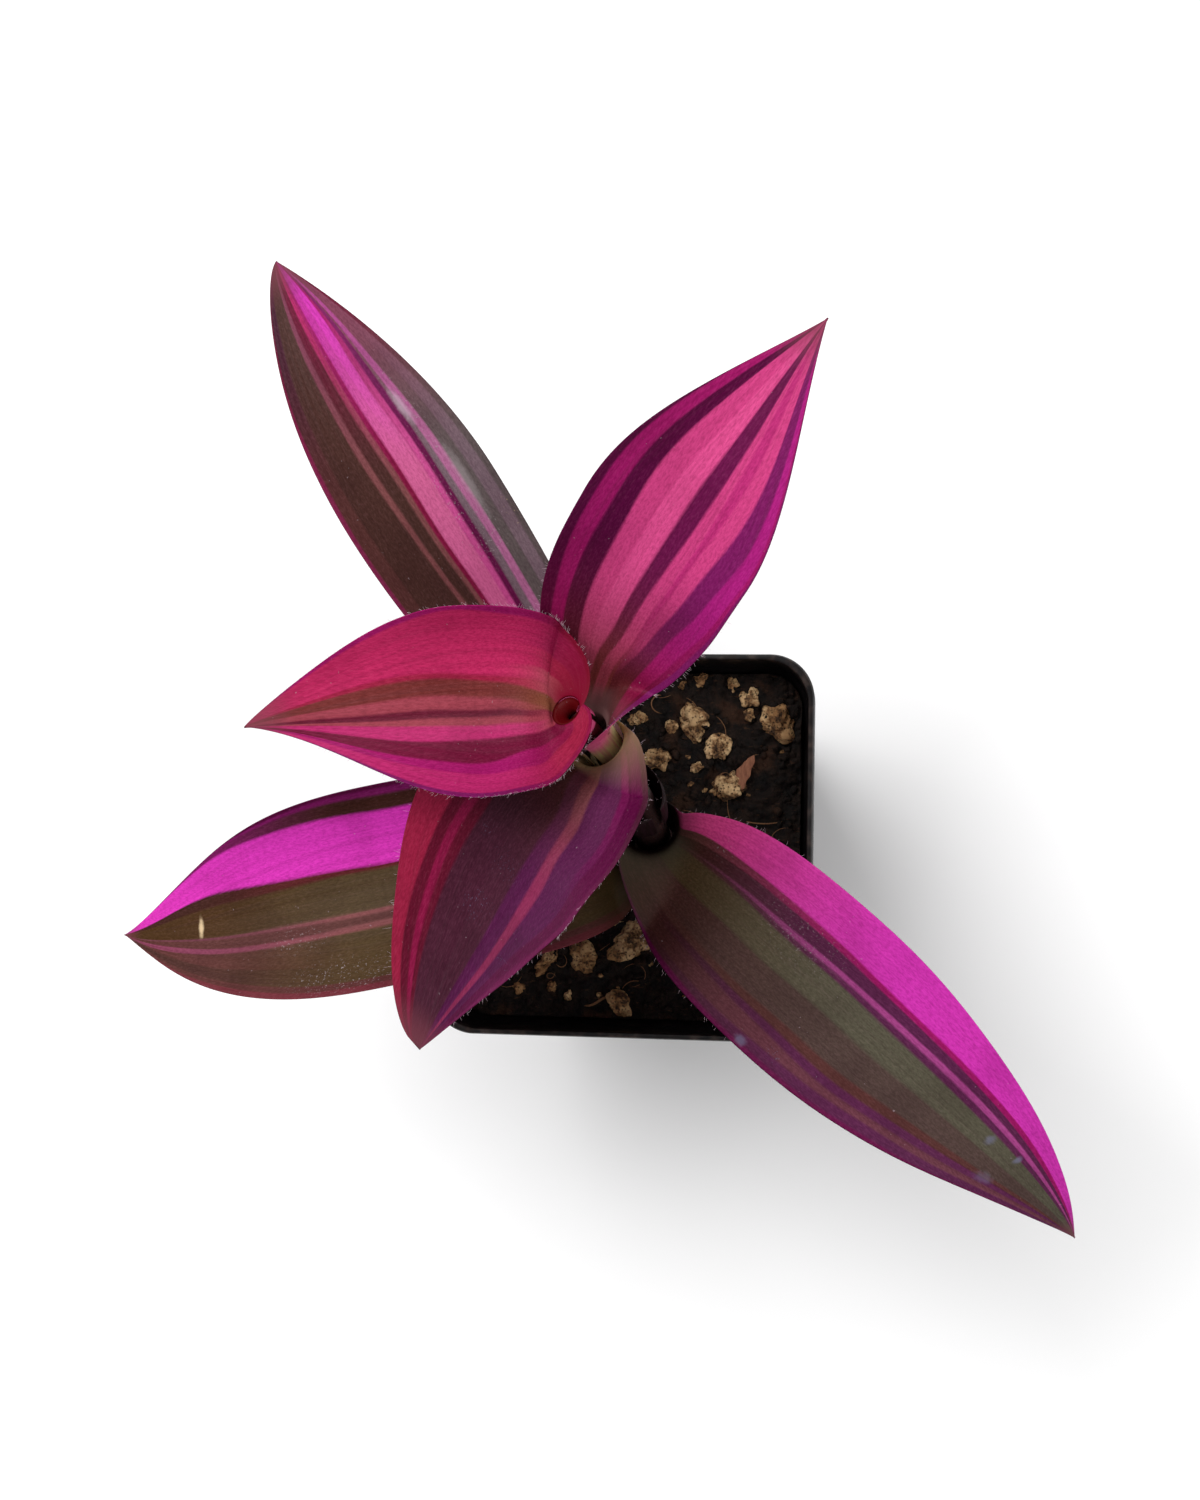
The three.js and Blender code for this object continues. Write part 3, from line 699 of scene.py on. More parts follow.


# ---- Stem -----------------------------------------------------------------------------
# One juicy stem, green with purple flecks just below its tip. Most of its height is painted
# near-black brown as painted shade, and the tip is painted the dark red of the shade inside
# the top leaf's funnel. It stands in the soil, leans, swells at each joint and ends inside
# the top leaf.

STEM_CURVE = np.array([(3.3, -0.2, 40), (7.3, -4.2, 66), (10.3, 11.4, 90), (-1.2, 21.1, 113.2)])
STEM_FOOT = 40.5
STEM_TOP = 107.2
STEM_RADIUS = 3.0
STEM_TAPER = 0.5
STEM_TAPER_RUN = 58.0
NODE_SWELL = 0.16
NODE_BELOW = 1.4  # how far a joint lies below its leaf's foot
NODE_REACH = 0.8
TIP_ROUND = 2.0  # length over which the tip closes
PAINTED_SHADE_ENDS = (0.084, 0.098)  # heights in metres over which the lower part's painted shade gives way to green
TIP_SHADE_RED = (0.098, 0.103)  # and over which the tip turns dark red, painted shade inside the top leaf's funnel


def unit_of(a):
    return a / np.linalg.norm(a, axis=-1, keepdims=True)


def curve_point(controls, t):
    """Cubic Bezier curve: the four points weighted by the cubic's Bernstein terms."""
    t = np.asarray(t, float)[..., None]
    a, b, c, d = np.asarray(controls, float)
    return (1 - t) ** 3 * a + 3 * (1 - t) ** 2 * t * b + 3 * (1 - t) * t ** 2 * c + t ** 3 * d


def curve_way(controls, t):
    """Direction of the same curve: the quadratic of the steps between its points."""
    t = np.asarray(t, float)[..., None]
    a, b, c = np.diff(np.asarray(controls, float), axis=0)
    return unit_of((1 - t) ** 2 * a + 2 * (1 - t) * t * b + t ** 2 * c)


def stem_axis(z):
    """Point and direction of the stem's axis at a height, found along a fine table."""
    t = np.linspace(0, 1, 4001)
    t = np.interp(z, curve_point(STEM_CURVE, t)[:, 2], t)
    return curve_point(STEM_CURVE, t), curve_way(STEM_CURVE, t)


def stem_radius(z):
    share = np.clip((np.asarray(z, float) - SOIL_LEVEL + 2) / STEM_TAPER_RUN, 0, 1)
    return STEM_RADIUS * (1 - STEM_TAPER * share ** 2)


# The leaves, each of which starts just above one of the stem's joints. left and right hold a
# half-width, the share of the length at which it is widest, and the powers of its ramp, its
# taper and its sheath's cut
LEAVES = {
    "leaf_lower_left": dict(
        foot=56.5, sheath=6, flare=0.8, azimuth=201.1, rise=13, reach=12.1,
        arch=(-66.9, -20.9, 75), tip=(-84.5, -16.6, 65),
        left=(18, 0.45, 0.37, 1.43, 5.2), right=(21.4, 0.48, 0.51, 1.14, 5.2),
        unroll=0.1, gutter=20, roll=14.8, wave=0.3, neck=0,
    ),
    "leaf_lower_right": dict(
        foot=66, sheath=6, flare=0.8, azimuth=-36.8, rise=11.6, reach=6.1,
        arch=(69.7, -41.6, 85), tip=(74.9, -61.7, 59),
        left=(11.4, 0.41, 0.61, 1.2, 6), right=(19.3, 0.44, 0.42, 1.1, 6),
        unroll=0.16, gutter=42, roll=10.7, wave=0.3, neck=0,
    ),
    "leaf_upper_left": dict(
        foot=76, sheath=7, flare=0.8, azimuth=142.2, rise=10.9, reach=14.1,
        arch=(-28.6, 58.8, 106), tip=(-48.8, 89.9, 100),
        left=(12.7, 0.6, 0.99, 0.68, 4), right=(12.6, 0.59, 0.61, 0.95, 4),
        unroll=0.12, gutter=27.3, roll=3.5, wave=0.3, neck=0,
    ),
    "leaf_lower_middle": dict(
        foot=90, sheath=10.5, flare=1.2, azimuth=251.2, rise=8.4, reach=5,
        arch=(-10.1, 5.6, 109), tip=(-27, -32.7, 86),
        left=(24.7, 0.37, 0.62, 0.93, 4.4), right=(16.8, 0.46, 0.47, 0.39, 4.2),
        unroll=0.13, gutter=31.9, roll=25.2, wave=0.3, neck=0,
    ),
    "leaf_upper_right": dict(
        foot=97.5, sheath=6.3, flare=0.4, azimuth=80.4, rise=1.8, reach=10.9,
        arch=(10.8, 34.9, 124), tip=(40.2, 72.6, 131),
        left=(15, 0.67, 0.85, 1.03, 1.8), right=(13.6, 0.67, 0.6, 1.06, 1.8),
        unroll=0.22, gutter=26.6, roll=-1.7, wave=0.3, neck=0,
    ),
    "leaf_top_left": dict(
        foot=105.8, sheath=4, flare=0.1, azimuth=198, rise=1, reach=0.3,
        arch=(0.3, 19.8, 115), tip=(-50.3, 17, 106),
        left=(16.9, 0.55, 0.77, 1.33, 1.6), right=(18, 0.65, 0.46, 0.82, 5.1),
        unroll=0.24, gutter=15.7, roll=8.9, wave=0.3, neck=1.55,
    ),
}

z = np.linspace(STEM_FOOT, STEM_TOP, 260)
axis, way = stem_axis(z)
thick = stem_radius(z)
for leaf in LEAVES.values():
    thick = thick + NODE_SWELL * np.exp(-((z - leaf["foot"] + NODE_BELOW) / NODE_REACH) ** 2)
thick *= np.sqrt(np.clip(1 - np.clip((z - STEM_TOP + TIP_ROUND) / TIP_ROUND, 0, 1) ** 2, 0, 1))
thick[0] = 0
points, faces = threads_along(axis[None], thick[None], sides=48)

skin = Finish("stem_skin", Specular_IOR_Level=0.45, Subsurface_Weight=0.08, Subsurface_Scale=0.002)
place = skin.place()
lengthways = skin.stretched(place, (1, 1, 0.12))
streaks = skin.noise(lengthways, 1500, 4, 0.6)
flecks = skin.noise(lengthways, 3300, 3).step(0.58, 0.7)
tone = skin.mix(streaks, ink("5c6a36"), ink("97935c"))
tone = skin.mix(flecks * 0.7, tone, ink("6a2a52"))
rise = skin.part(place, 2)
# Painted shade: below the sheaths the stem is painted near-black brown
tone = skin.mix(1 - rise.step(*PAINTED_SHADE_ENDS), tone, ink("2a1716"))
# Painted shade: the tip inside the top leaf's funnel is painted dark red
tone = skin.mix(rise.step(*TIP_SHADE_RED), tone, ink("5a0e1e"))
skin.shade(Base_Color=tone, Roughness=0.4 + streaks * 0.15, Normal=skin.bump(streaks, 0.0003, 0.6))
stem = new_piece("leaning_stem", points, faces, [skin.material])
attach(stem, "root")
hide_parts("stem")


# ---- Leaves ---------------------------------------------------------------------------
# Six fleshy leaves. Each is one sheet, rolled round the stem at its foot as a sheath and
# opened above it into an arched blade, striped lengthways in pink, purple and olive.

THICKNESS = 0.7  # the room that each sheath's wall takes up round the stem
WRAP = 0.93 * math.pi
ROLL_BY = 0.5
WAVE_COUNT = 2.5
NECK_FROM = -0.75
TIP_HALF_WIDTH = 0.12
BLADE_THICK = 0.5  # at the midrib; the margins thin out to nothing
RIDGES = 9  # vein ridges on each side
SOFT_BORDER = 0.006  # share of the width over which a stripe blends into its neighbour
BORDER = 0.25  # that blend's part of each stripe's own count
BORDER_EASE = (-0.06, -0.03, 0, 0.03, 0.06)  # shifts along the leaf that a border is averaged over
WANDER = 0.004  # share of the width by which a border strays
EDGE_CROWDING = 0.45  # above 0, a section's points crowd towards the margins
MARGIN_POWER = 0.35  # how abruptly the sheet thins towards its margins
FOOT_END = 0.04  # share of the sheath's length over which the sheet closes at its foot
TIP_END = 0.02  # share of the blade's length over which it closes at its tip
TIP_THINNING = 0.25
RELIEF_FROM = 0.2  # share of the blade over which the relief grows from the mouth
RELIEF_END = 0.12  # share over which it dies away to the tip
RIDGE_HEIGHT = 0.022
GROOVE_WIDTH = 0.03  # of the midrib, as a share of the half-width
GROOVE_DEPTH = 0.13  # on the upper side
KEEL_HEIGHT = 0.08  # of the midrib on the lower side
SWAY = 0.16  # height of the blade's slow unevenness
SECTION_STEPS = 216
BLADE_STEPS = 132
SHEATH_STEPS = 12


def smooth(x):
    x = np.clip(x, 0, 1)
    return x * x * (3 - 2 * x)


def half_width(s, shape, wrap, unroll):
    """The sheath's wrap dies away as the sheet unrolls, while a sine widens the blade to
    its widest place and a cosine narrows it to the tip."""
    width, widest, ramp, taper, cut = shape
    rising = wrap * np.clip(1 - s / unroll, 0, 1) ** cut
    rising = rising + width * np.sin(np.clip(s / widest, 0, 1) * math.pi / 2) ** ramp
    falling = np.cos(np.clip((s - widest) / (1 - widest), 0, 1) * math.pi / 2)
    falling = np.maximum(TIP_HALF_WIDTH, width * np.clip(falling, 0, 1) ** taper)
    return np.where(s < widest, rising, falling)


def turned(a, b, angle):
    """Two square vectors turned together in their own plane."""
    c, s = np.cos(angle)[..., None], np.sin(angle)[..., None]
    return a * c + b * s, b * c - a * s


def leaf_surface(leaf, s, v):
    """Middle surface: at each s the sheet is an arc square to the midrib, whose radius goes
    from the stem's to the gutter's. s runs from -1 at the sheath's foot by 0 at its mouth
    to 1 at the tip, and v from -1 at the right edge to 1 at the left."""
    s, v = np.broadcast_arrays(np.asarray(s, float), np.asarray(v, float))
    snug = stem_radius(leaf["foot"]) + NODE_SWELL + CLEARANCE + THICKNESS / 2
    radius = snug + leaf["flare"]
    azimuth = math.radians(leaf["azimuth"])
    across = np.array([-math.sin(azimuth), math.cos(azimuth), 0])
    mouth = leaf["foot"] + leaf["sheath"]
    start, top_way = stem_axis(mouth)
    start = start + unit_of(np.cross(across, top_way)) * radius
    steer = start + top_way * leaf["rise"] + unit_of(np.cross(across, top_way)) * leaf["reach"]
    midrib = np.array([start, steer, leaf["arch"], leaf["tip"]])
    blade = np.clip(s, 0, 1)
    low_at, low_way = stem_axis(mouth + leaf["sheath"] * np.clip(s, -1, 0))
    rolled = snug + (radius - snug) * (s + 1)
    rolled = rolled - leaf["neck"] * np.sin(math.pi * np.clip(1 - s / NECK_FROM, 0, 1))
    rolled = np.where(s <= 0, rolled, radius)
    low_at = low_at + unit_of(np.cross(across, low_way)) * rolled[..., None]
    opened = smooth(blade / leaf["unroll"])
    blade_way = unit_of(top_way * (1 - opened[..., None]) + curve_way(midrib, blade) * opened[..., None])
    in_sheath = (s <= 0)[..., None]
    at = np.where(in_sheath, low_at, curve_point(midrib, blade))
    way = np.where(in_sheath, low_way, blade_way)
    inwards = unit_of(np.cross(way, across))
    left = np.cross(inwards, way)
    left, inwards = turned(left, inwards, math.radians(leaf["roll"]) * smooth(blade / ROLL_BY))
    left_width = half_width(blade, leaf["left"], WRAP * rolled, leaf["unroll"])
    right_width = half_width(blade, leaf["right"], WRAP * rolled, leaf["unroll"])
    width = np.where(v >= 0, left_width, right_width)
    curl = 1 / rolled + (1 / leaf["gutter"] - 1 / rolled) * opened
    angle = curl * width * v
    ripple = leaf["wave"] * v * v * smooth(3 * blade) * smooth(4 * (1 - blade))
    ripple = ripple * np.sin(2 * math.pi * WAVE_COUNT * s + 2 * np.sign(v))
    lift = (1 - np.cos(angle)) / curl + ripple
    point = at + left * (np.sin(angle) / curl)[..., None] + inwards * lift[..., None]
    return point, width * v


def facing(leaf, s, v):
    """The sheet's upper side: square to its steps along s and along v."""
    h = 1e-3
    tipwards = leaf_surface(leaf, np.minimum(s + h, 1), v)[0]
    footwards = leaf_surface(leaf, np.maximum(s - h, -1), v)[0]
    leftwards = leaf_surface(leaf, s, np.minimum(v + h, 1))[0]
    rightwards = leaf_surface(leaf, s, np.maximum(v - h, -1))[0]
    return unit_of(np.cross(tipwards - footwards, leftwards - rightwards))


def stripe_place(stripes, stations, s, v):
    """Counts the stripes from the left edge: 0 at the edge, 1 at the far side of the last.
    Borders slide between their values at the stations and wander a little. The outer parts
    of each stripe, which blend into its neighbours, are narrow whatever its width."""
    share = (1 - v) / 2 + WANDER * ripples(s * 7, v * 2, 1.5, 10, len(stripes))
    borders = np.array([[0] * len(stations), *[stripe[0] for stripe in stripes]], float) / 100
    count = len(stripes)
    lean = sum(
        np.stack([np.interp(s + shift, stations, border) for border in borders])
        for shift in BORDER_EASE
    ) / len(BORDER_EASE)
    place = np.zeros_like(share)
    for i in range(count):
        wide = np.maximum(lean[i + 1] - lean[i], 1e-4)
        into = np.clip(share - lean[i], 0, wide)
        soft = np.minimum(SOFT_BORDER, wide / 3)
        near = np.minimum(into, soft) / soft * BORDER
        far = np.maximum(into - wide + soft, 0) / soft * BORDER
        held = np.clip(into - soft, 0, wide - 2 * soft) / (wide - 2 * soft) * (1 - 2 * BORDER)
        place += (near + held + far) / count
    return place


def leaf_mesh(name, leaf, stripes, stations):
    """A closed sheet: each section is a loop over the upper side and back under the lower,
    whose thickness is an arch over the width, thin at the margins, foot and tip."""
    foot_part = -1 + np.linspace(0, 1, SHEATH_STEPS, endpoint=False)
    u = np.linspace(0, 1, BLADE_STEPS)
    blade_part = u - 0.5 * np.sin(2 * math.pi * u) / (2 * math.pi)
    s = np.concatenate([foot_part, blade_part])[:, None]
    theta = np.linspace(0, 2 * math.pi, SECTION_STEPS, endpoint=False)[None]
    upper = theta < math.pi
    straight = np.where(upper, 1 - 2 * theta / math.pi, 2 * theta / math.pi - 3)
    v = EDGE_CROWDING * np.cos(theta) + (1 - EDGE_CROWDING) * straight
    s, v = np.broadcast_arrays(s, v)
    sign = np.where(np.broadcast_to(upper, s.shape), 1.0, -1.0)
    sign = np.where(abs(v) > 1 - 1e-9, 0.0, sign)
    middle, offset = leaf_surface(leaf, s, v)
    arch = np.clip(1 - v ** 2, 0, 1) ** MARGIN_POWER
    ends = np.sqrt(np.clip((s + 1) / FOOT_END, 0, 1) * np.clip((1 - s) / TIP_END, 0, 1))
    thick = BLADE_THICK / 2 * arch * ends * (1 - TIP_THINNING * smooth(s))
    blade = smooth(s / RELIEF_FROM) * smooth((1 - s) / RELIEF_END)
    ridges = RIDGE_HEIGHT * np.cos(2 * math.pi * RIDGES * v) * arch * blade
    groove = np.exp(-(v / GROOVE_WIDTH) ** 2) * blade
    lift = sign * (thick + ridges) - groove * np.where(sign > 0, GROOVE_DEPTH, KEEL_HEIGHT)
    sway = ripples(s * 60, v * 10, 16, 8, len(name)) * SWAY * blade
    points = middle + facing(leaf, s, v) * (lift + sway)[..., None]
    faces = ring_faces(*s.shape)[:, ::-1]
    wide = np.stack([stripe_place(stripes, stations, s, v), (s + 1) / 2], -1)
    spread = np.stack([(1 - v) / 2, (s + 1) / 2], -1)
    length = np.linalg.norm(np.array(leaf["tip"]) - stem_axis(leaf["foot"])[0])
    measured = np.stack([offset, s * length], -1)
    below = np.broadcast_to(~upper, s.shape)[:-1].ravel()
    maps = {"stripes": wide, "spread": spread, "measured": measured}
    maps = [(key, values.reshape(-1, 2)) for key, values in maps.items()]
    return points.reshape(-1, 3), faces, below, maps


INKS = {
    "orchid": "c836a8", "magenta": "b93496", "candy": "d04c86", "rose": "c2407a", "shell": "cb6190",
    "heather": "b06a92", "blush": "a04582", "salmon": "c44f8c", "fuchsia": "a02374",
    "berry": "961e5f", "raspberry": "a92a62", "crimson": "ae2a57", "cerise": "b0306e",
    "claret": "90243f", "coral": "a04a54", "garnet": "7f1c3f", "damask": "7e2a4c",
    "damson": "641c46", "mulberry": "75205a", "wine": "661a34", "maroon": "5c1a2c",
    "plum": "53163a", "violet": "501c42", "purple": "582848", "aubergine": "452230",
    "cocoa": "5a2528", "chestnut": "6b302e", "taupe": "4f403b", "sage": "545143", "moss": "3c311e",
    "olive": "4c3e2a", "bark": "45311f", "umber": "49302b", "earth": "3f2722", "russet": "6a3238",
    "dusk": "7c4a4a", "sepia": "563431", "mauve": "663a44", "heath": "7a3d52", "smoke": "76626a",
    "ash": "5f5554", "clay": "8d6866", "tan": "845048", "gold": "7e4e37", "brick": "8c3a46",
    "shade_black": "1c130e", "blood": "4f0a18", "ember": "6c1228", "scar": "c9b08c", "dust": "a59a9c",
    "drops_and_sheen": "747490", "glint": "b49aaa", "straw": "b59c74",
}

# For each leaf: four stations along it, the stretch over which its stripes go from their
# first ink to their second, and its stripes from the left edge, each with its far border at
# the stations, in percent of the width, and those two inks. The inks carry painted light:
# darker where a leaf lies under its neighbours or turns from the light, lighter where it faces
# it, and the upper-left leaf's grey right half is partly painted gloss
STRIPES = {
    "leaf_lower_left": ((0.5, 0.65, 0.8, 0.9), (0.5, 0.8), [
        ((5, 5, 4, 3), ("russet", "russet")),
        ((10, 10, 9, 9), ("sepia", "sepia")),
        ((22, 22, 20, 20), ("olive", "umber")),
        ((41, 38, 33, 25), ("olive", "sepia")),
        ((44, 41, 38, 36), ("dusk", "heath")),
        ((48, 48, 47, 46), ("sepia", "sepia")),
        ((50, 50, 49, 49), ("dusk", "mauve")),
        ((65, 66, 70, 70), ("olive", "bark")),
        ((66, 70, 79, 77), ("cocoa", "earth")),
        ((88, 93, 99, 99), ("orchid", "orchid")),
        ((95, 98, 100, 100), ("earth", "mulberry")),
        ((98, 99, 100, 100), ("mulberry", "mulberry")),
        ((100, 100, 100, 100), ("plum", "plum")),
    ]),
    "leaf_lower_right": ((0.1, 0.3, 0.55, 0.8), (0.1, 0.55), [
        ((12, 18, 20, 16), ("rose", "orchid")),
        ((24, 31, 34, 25), ("rose", "orchid")),
        ((34, 36, 38, 33), ("sepia", "berry")),
        ((45, 47, 47, 41), ("earth", "purple")),
        ((47, 50, 51, 49), ("umber", "blush")),
        ((50, 52, 54, 54), ("umber", "purple")),
        ((66, 66, 67, 68), ("olive", "sage")),
        ((79, 80, 81, 80), ("umber", "taupe")),
        ((83, 83, 86, 84), ("umber", "sepia")),
        ((87, 86, 90, 89), ("earth", "purple")),
        ((94, 95, 93, 94), ("earth", "mauve")),
        ((98, 98, 98, 99), ("earth", "purple")),
        ((100, 100, 100, 100), ("plum", "damson")),
    ]),
    "leaf_upper_left": ((0.5, 0.65, 0.8, 0.92), (0.62, 0.92), [
        ((3, 3, 2, 2), ("damask", "wine")),
        ((12, 11, 10, 9), ("sepia", "aubergine")),
        ((35, 32, 27, 25), ("umber", "umber")),
        ((38, 36, 31, 30), ("dusk", "heath")),
        ((45, 43, 39, 38), ("umber", "wine")),
        ((48, 46, 43, 43), ("dusk", "raspberry")),
        ((51, 49, 47, 47), ("garnet", "berry")),
        ((57, 55, 54, 58), ("shell", "magenta")),
        ((62, 62, 61, 69), ("shell", "orchid")),
        ((66, 66, 67, 73), ("salmon", "berry")),
        ((70, 70, 72, 77), ("damson", "mulberry")),
        ((75, 74, 74, 79), ("smoke", "heath")),
        ((80, 80, 79, 84), ("heather", "blush")),
        ((88, 88, 88, 90), ("ash", "heath")),
        ((96, 96, 95, 96), ("smoke", "heath")),
        ((100, 100, 100, 100), ("ash", "wine")),
    ]),
    "leaf_lower_middle": ((0.1, 0.35, 0.62, 0.85), (0.1, 0.62), [
        ((4, 3, 3, 4), ("aubergine", "damson")),
        ((13, 13, 9, 11), ("plum", "plum")),
        ((18, 17, 12, 15), ("damson", "violet")),
        ((34, 31, 22, 17), ("purple", "violet")),
        ((42, 36, 28, 22), ("dusk", "damask")),
        ((50, 41, 37, 33), ("mauve", "violet")),
        ((60, 54, 50, 56), ("sepia", "aubergine")),
        ((66, 66, 67, 73), ("umber", "aubergine")),
        ((71, 71, 73, 77), ("aubergine", "maroon")),
        ((77, 77, 78, 82), ("wine", "garnet")),
        ((83, 83, 84, 90), ("maroon", "maroon")),
        ((100, 100, 100, 100), ("claret", "claret")),
    ]),
    "leaf_upper_right": ((0.15, 0.4, 0.65, 0.88), (0.15, 0.65), [
        ((5, 7, 6, 1), ("maroon", "plum")),
        ((14, 15, 16, 11), ("garnet", "berry")),
        ((24, 27, 26, 21), ("cocoa", "plum")),
        ((32, 36, 37, 36), ("brick", "rose")),
        ((37, 47, 48, 48), ("brick", "candy")),
        ((45, 55, 57, 60), ("chestnut", "damson")),
        ((56, 62, 64, 65), ("brick", "rose")),
        ((59, 65, 67, 74), ("chestnut", "cerise")),
        ((61, 70, 76, 85), ("cocoa", "rose")),
        ((77, 79, 88, 94), ("cocoa", "mulberry")),
        ((90, 91, 97, 98), ("garnet", "fuchsia")),
        ((94, 96, 99, 99), ("wine", "berry")),
        ((100, 100, 100, 100), ("mulberry", "mulberry")),
    ]),
    "leaf_top_left": ((0.12, 0.35, 0.6, 0.85), (0.12, 0.6), [
        ((3, 5, 4, 2), ("garnet", "mulberry")),
        ((20, 20, 20, 12), ("claret", "raspberry")),
        ((28, 32, 26, 18), ("garnet", "berry")),
        ((39, 40, 39, 30), ("wine", "wine")),
        ((46, 46, 45, 43), ("brick", "raspberry")),
        ((49, 49, 49, 48), ("brick", "brick")),
        ((53, 52, 52, 53), ("brick", "maroon")),
        ((54, 54, 57, 60), ("gold", "brick")),
        ((62, 60, 64, 69), ("gold", "chestnut")),
        ((68, 65, 66, 72), ("coral", "claret")),
        ((75, 71, 72, 78), ("coral", "crimson")),
        ((85, 80, 85, 90), ("claret", "crimson")),
        ((97, 95, 97, 97), ("garnet", "crimson")),
        ((100, 100, 100, 100), ("ember", "berry")),
    ]),
}
# The heel of each blade, where the sheet leaves the stem: its ink at the mouth and the share
# of the length by which it has faded, its ink further out and that share, and how much of it
# shows on the left, along the midrib and on the right. The near-black and dark red mouth inks
# are painted shade in the hollow where the sheet leaves the stem
HEELS = {
    "leaf_lower_left": ("shade_black", 0.1, "moss", 0.2, (0.9, 0.9, 0.9)),
    "leaf_lower_right": ("shade_black", 0.07, "sage", 0.16, (0.2, 0.8, 0.7)),
    "leaf_upper_left": ("shade_black", 0.14, "tan", 0.3, (0.7, 0.7, 0.7)),
    # Straw: the heel's own tan, lightened as painted light where the leaves above shade it
    "leaf_lower_middle": ("straw", 0.05, "straw", 0.13, (0.5, 1.0, 0.6)),
    "leaf_upper_right": ("clay", 0.05, "clay", 0.16, (0.3, 0.8, 0.3)),
    # Ember: painted shade on the lobe that curls away from the light into the funnel
    "leaf_top_left": ("blood", 0.025, "ember", 0.3, (0.1, 0.15, 1.0)),
}
# Scars, pale drops, dust and painted sheen on the upper sides: the place in percent of the width
# and as a share of the length, the reach both ways, the ink, its strength, and whether it is
# speckled. The glint is a painted highlight, the pale patches on the upper-left leaf's right half
# are dust and painted gloss, and the bluish drops are dried drops and painted bluish sheen
MARKS = {
    "leaf_lower_left": [
        (57, 0.79, 9, 0.006, "scar", 0.9, False), (14, 0.55, 16, 0.1, "dust", 0.8, True),
        (40, 0.62, 12, 0.06, "dust", 0.5, True), (8, 0.54, 6, 0.03, "dust", 0.6, True),
    ],
    "leaf_lower_right": [
        (97, 0.41, 2.5, 0.012, "drops_and_sheen", 0.4, False), (93, 0.46, 4, 0.02, "drops_and_sheen", 0.4, True),
        (55, 0.8, 5, 0.006, "drops_and_sheen", 0.5, False), (59, 0.75, 5, 0.008, "drops_and_sheen", 0.4, False),
        (84, 0.79, 6, 0.018, "drops_and_sheen", 0.25, False), (30, 0.19, 12, 0.03, "dust", 0.5, True),
        (45, 0.38, 20, 0.1, "dust", 0.35, True),
    ],
    "leaf_upper_left": [
        (65, 0.6, 6, 0.09, "dust", 0.6, True), (77, 0.71, 9, 0.1, "dust", 0.6, True),
        (74, 0.73, 4, 0.035, "glint", 0.6, False), (72, 0.52, 16, 0.06, "dust", 0.6, True),
        (95, 0.53, 5, 0.03, "scar", 0.6, True), (81, 0.6, 4, 0.07, "dust", 0.4, False),
    ],
    "leaf_lower_middle": [
        (48, 0.74, 12, 0.04, "drops_and_sheen", 0.5, True), (12, 0.77, 7, 0.02, "drops_and_sheen", 0.6, True),
        (44, 0.62, 12, 0.05, "drops_and_sheen", 0.2, True), (60, 0.58, 6, 0.03, "drops_and_sheen", 0.3, True),
    ],
}
SHEEN = 0.007  # light that the waxy skin adds to every ink
# How light an ink looks on each leaf, compared with its own lightness
GLOW = {
    "leaf_lower_left": 0.92, "leaf_lower_right": 1.04, "leaf_upper_left": 1.12,
    "leaf_lower_middle": 0.92, "leaf_upper_right": 1.0, "leaf_top_left": 1.0,
}


def skin_ink(name, leaf_name):
    """A named ink, which is a colour as seen in the studio, as the leaf's own colour."""
    seen = ink(INKS[name])
    return (*[max(part - SHEEN, 0.001) / GLOW[leaf_name] for part in seen[:3]], 1.0)


def stripe_ramp(finish, name, place, stripes, end):
    """The inks of one end across a leaf, each held over its stripe and blended between."""
    count = len(stripes)
    stops = []
    for i, (_, inks) in enumerate(stripes):
        color = skin_ink(inks[end], name)
        stops.append(((i + BORDER) / count, color))
        stops.append(((i + 1 - BORDER) / count, color))
    return finish.add("ValToRGB", {"stops": stops}, {0: place})


def with_marks(finish, name, tone, spread, place):
    """Adds a leaf's marks to its tone: ragged ellipses, some of them broken into specks."""
    ragged = finish.noise(place, 1300, 3) * 0.7
    speckled = finish.noise(place, 2300, 3, 0.7).step(0.58, 0.72)
    for share, at, wide, long, ink_name, strength, broken in MARKS.get(name, ()):
        middle = (share / 100, (at + 1) / 2, 0)
        out = finish.add("VectorMath", {"operation": "SUBTRACT"}, {0: spread, 1: middle})
        out = finish.stretched(out, (100 / wide, 2 / long, 0))
        far = finish.add("VectorMath", {"operation": "LENGTH"}, {0: out}, 1)
        shown = 1 - (far + ragged).step(0.6, 1.5)
        if broken:
            shown = shown * speckled
        tone = finish.mix(shown * strength, tone, skin_ink(ink_name, name))
    return tone


def with_heel(finish, name, tone, spread, along):
    """Adds a leaf's heel and mouth to its tone. The heel shows by its three shares, blended
    from the midrib out to either side. A dark mouth ink is painted shade where the sheet leaves
    the stem."""
    mouth_ink, mouth_end, heel_ink, heel_end, (on_left, on_midrib, on_right) = HEELS[name]
    out = finish.part(spread, 0) * 2 - 1
    shown = out.step(0.05, 0.45) * (on_right - on_midrib) + on_midrib
    shown = shown + (0 - out).step(0.05, 0.45) * (on_left - on_midrib)
    heel_part = 1 - along.step(heel_end * 0.15, heel_end)
    tone = finish.mix(heel_part * shown, tone, skin_ink(heel_ink, name))
    # Painted shade where the ink is dark: the mouth darkened where the sheet leaves the stem
    mouth_part = 1 - along.step(mouth_end * 0.4, mouth_end)
    return finish.mix(mouth_part, tone, skin_ink(mouth_ink, name))


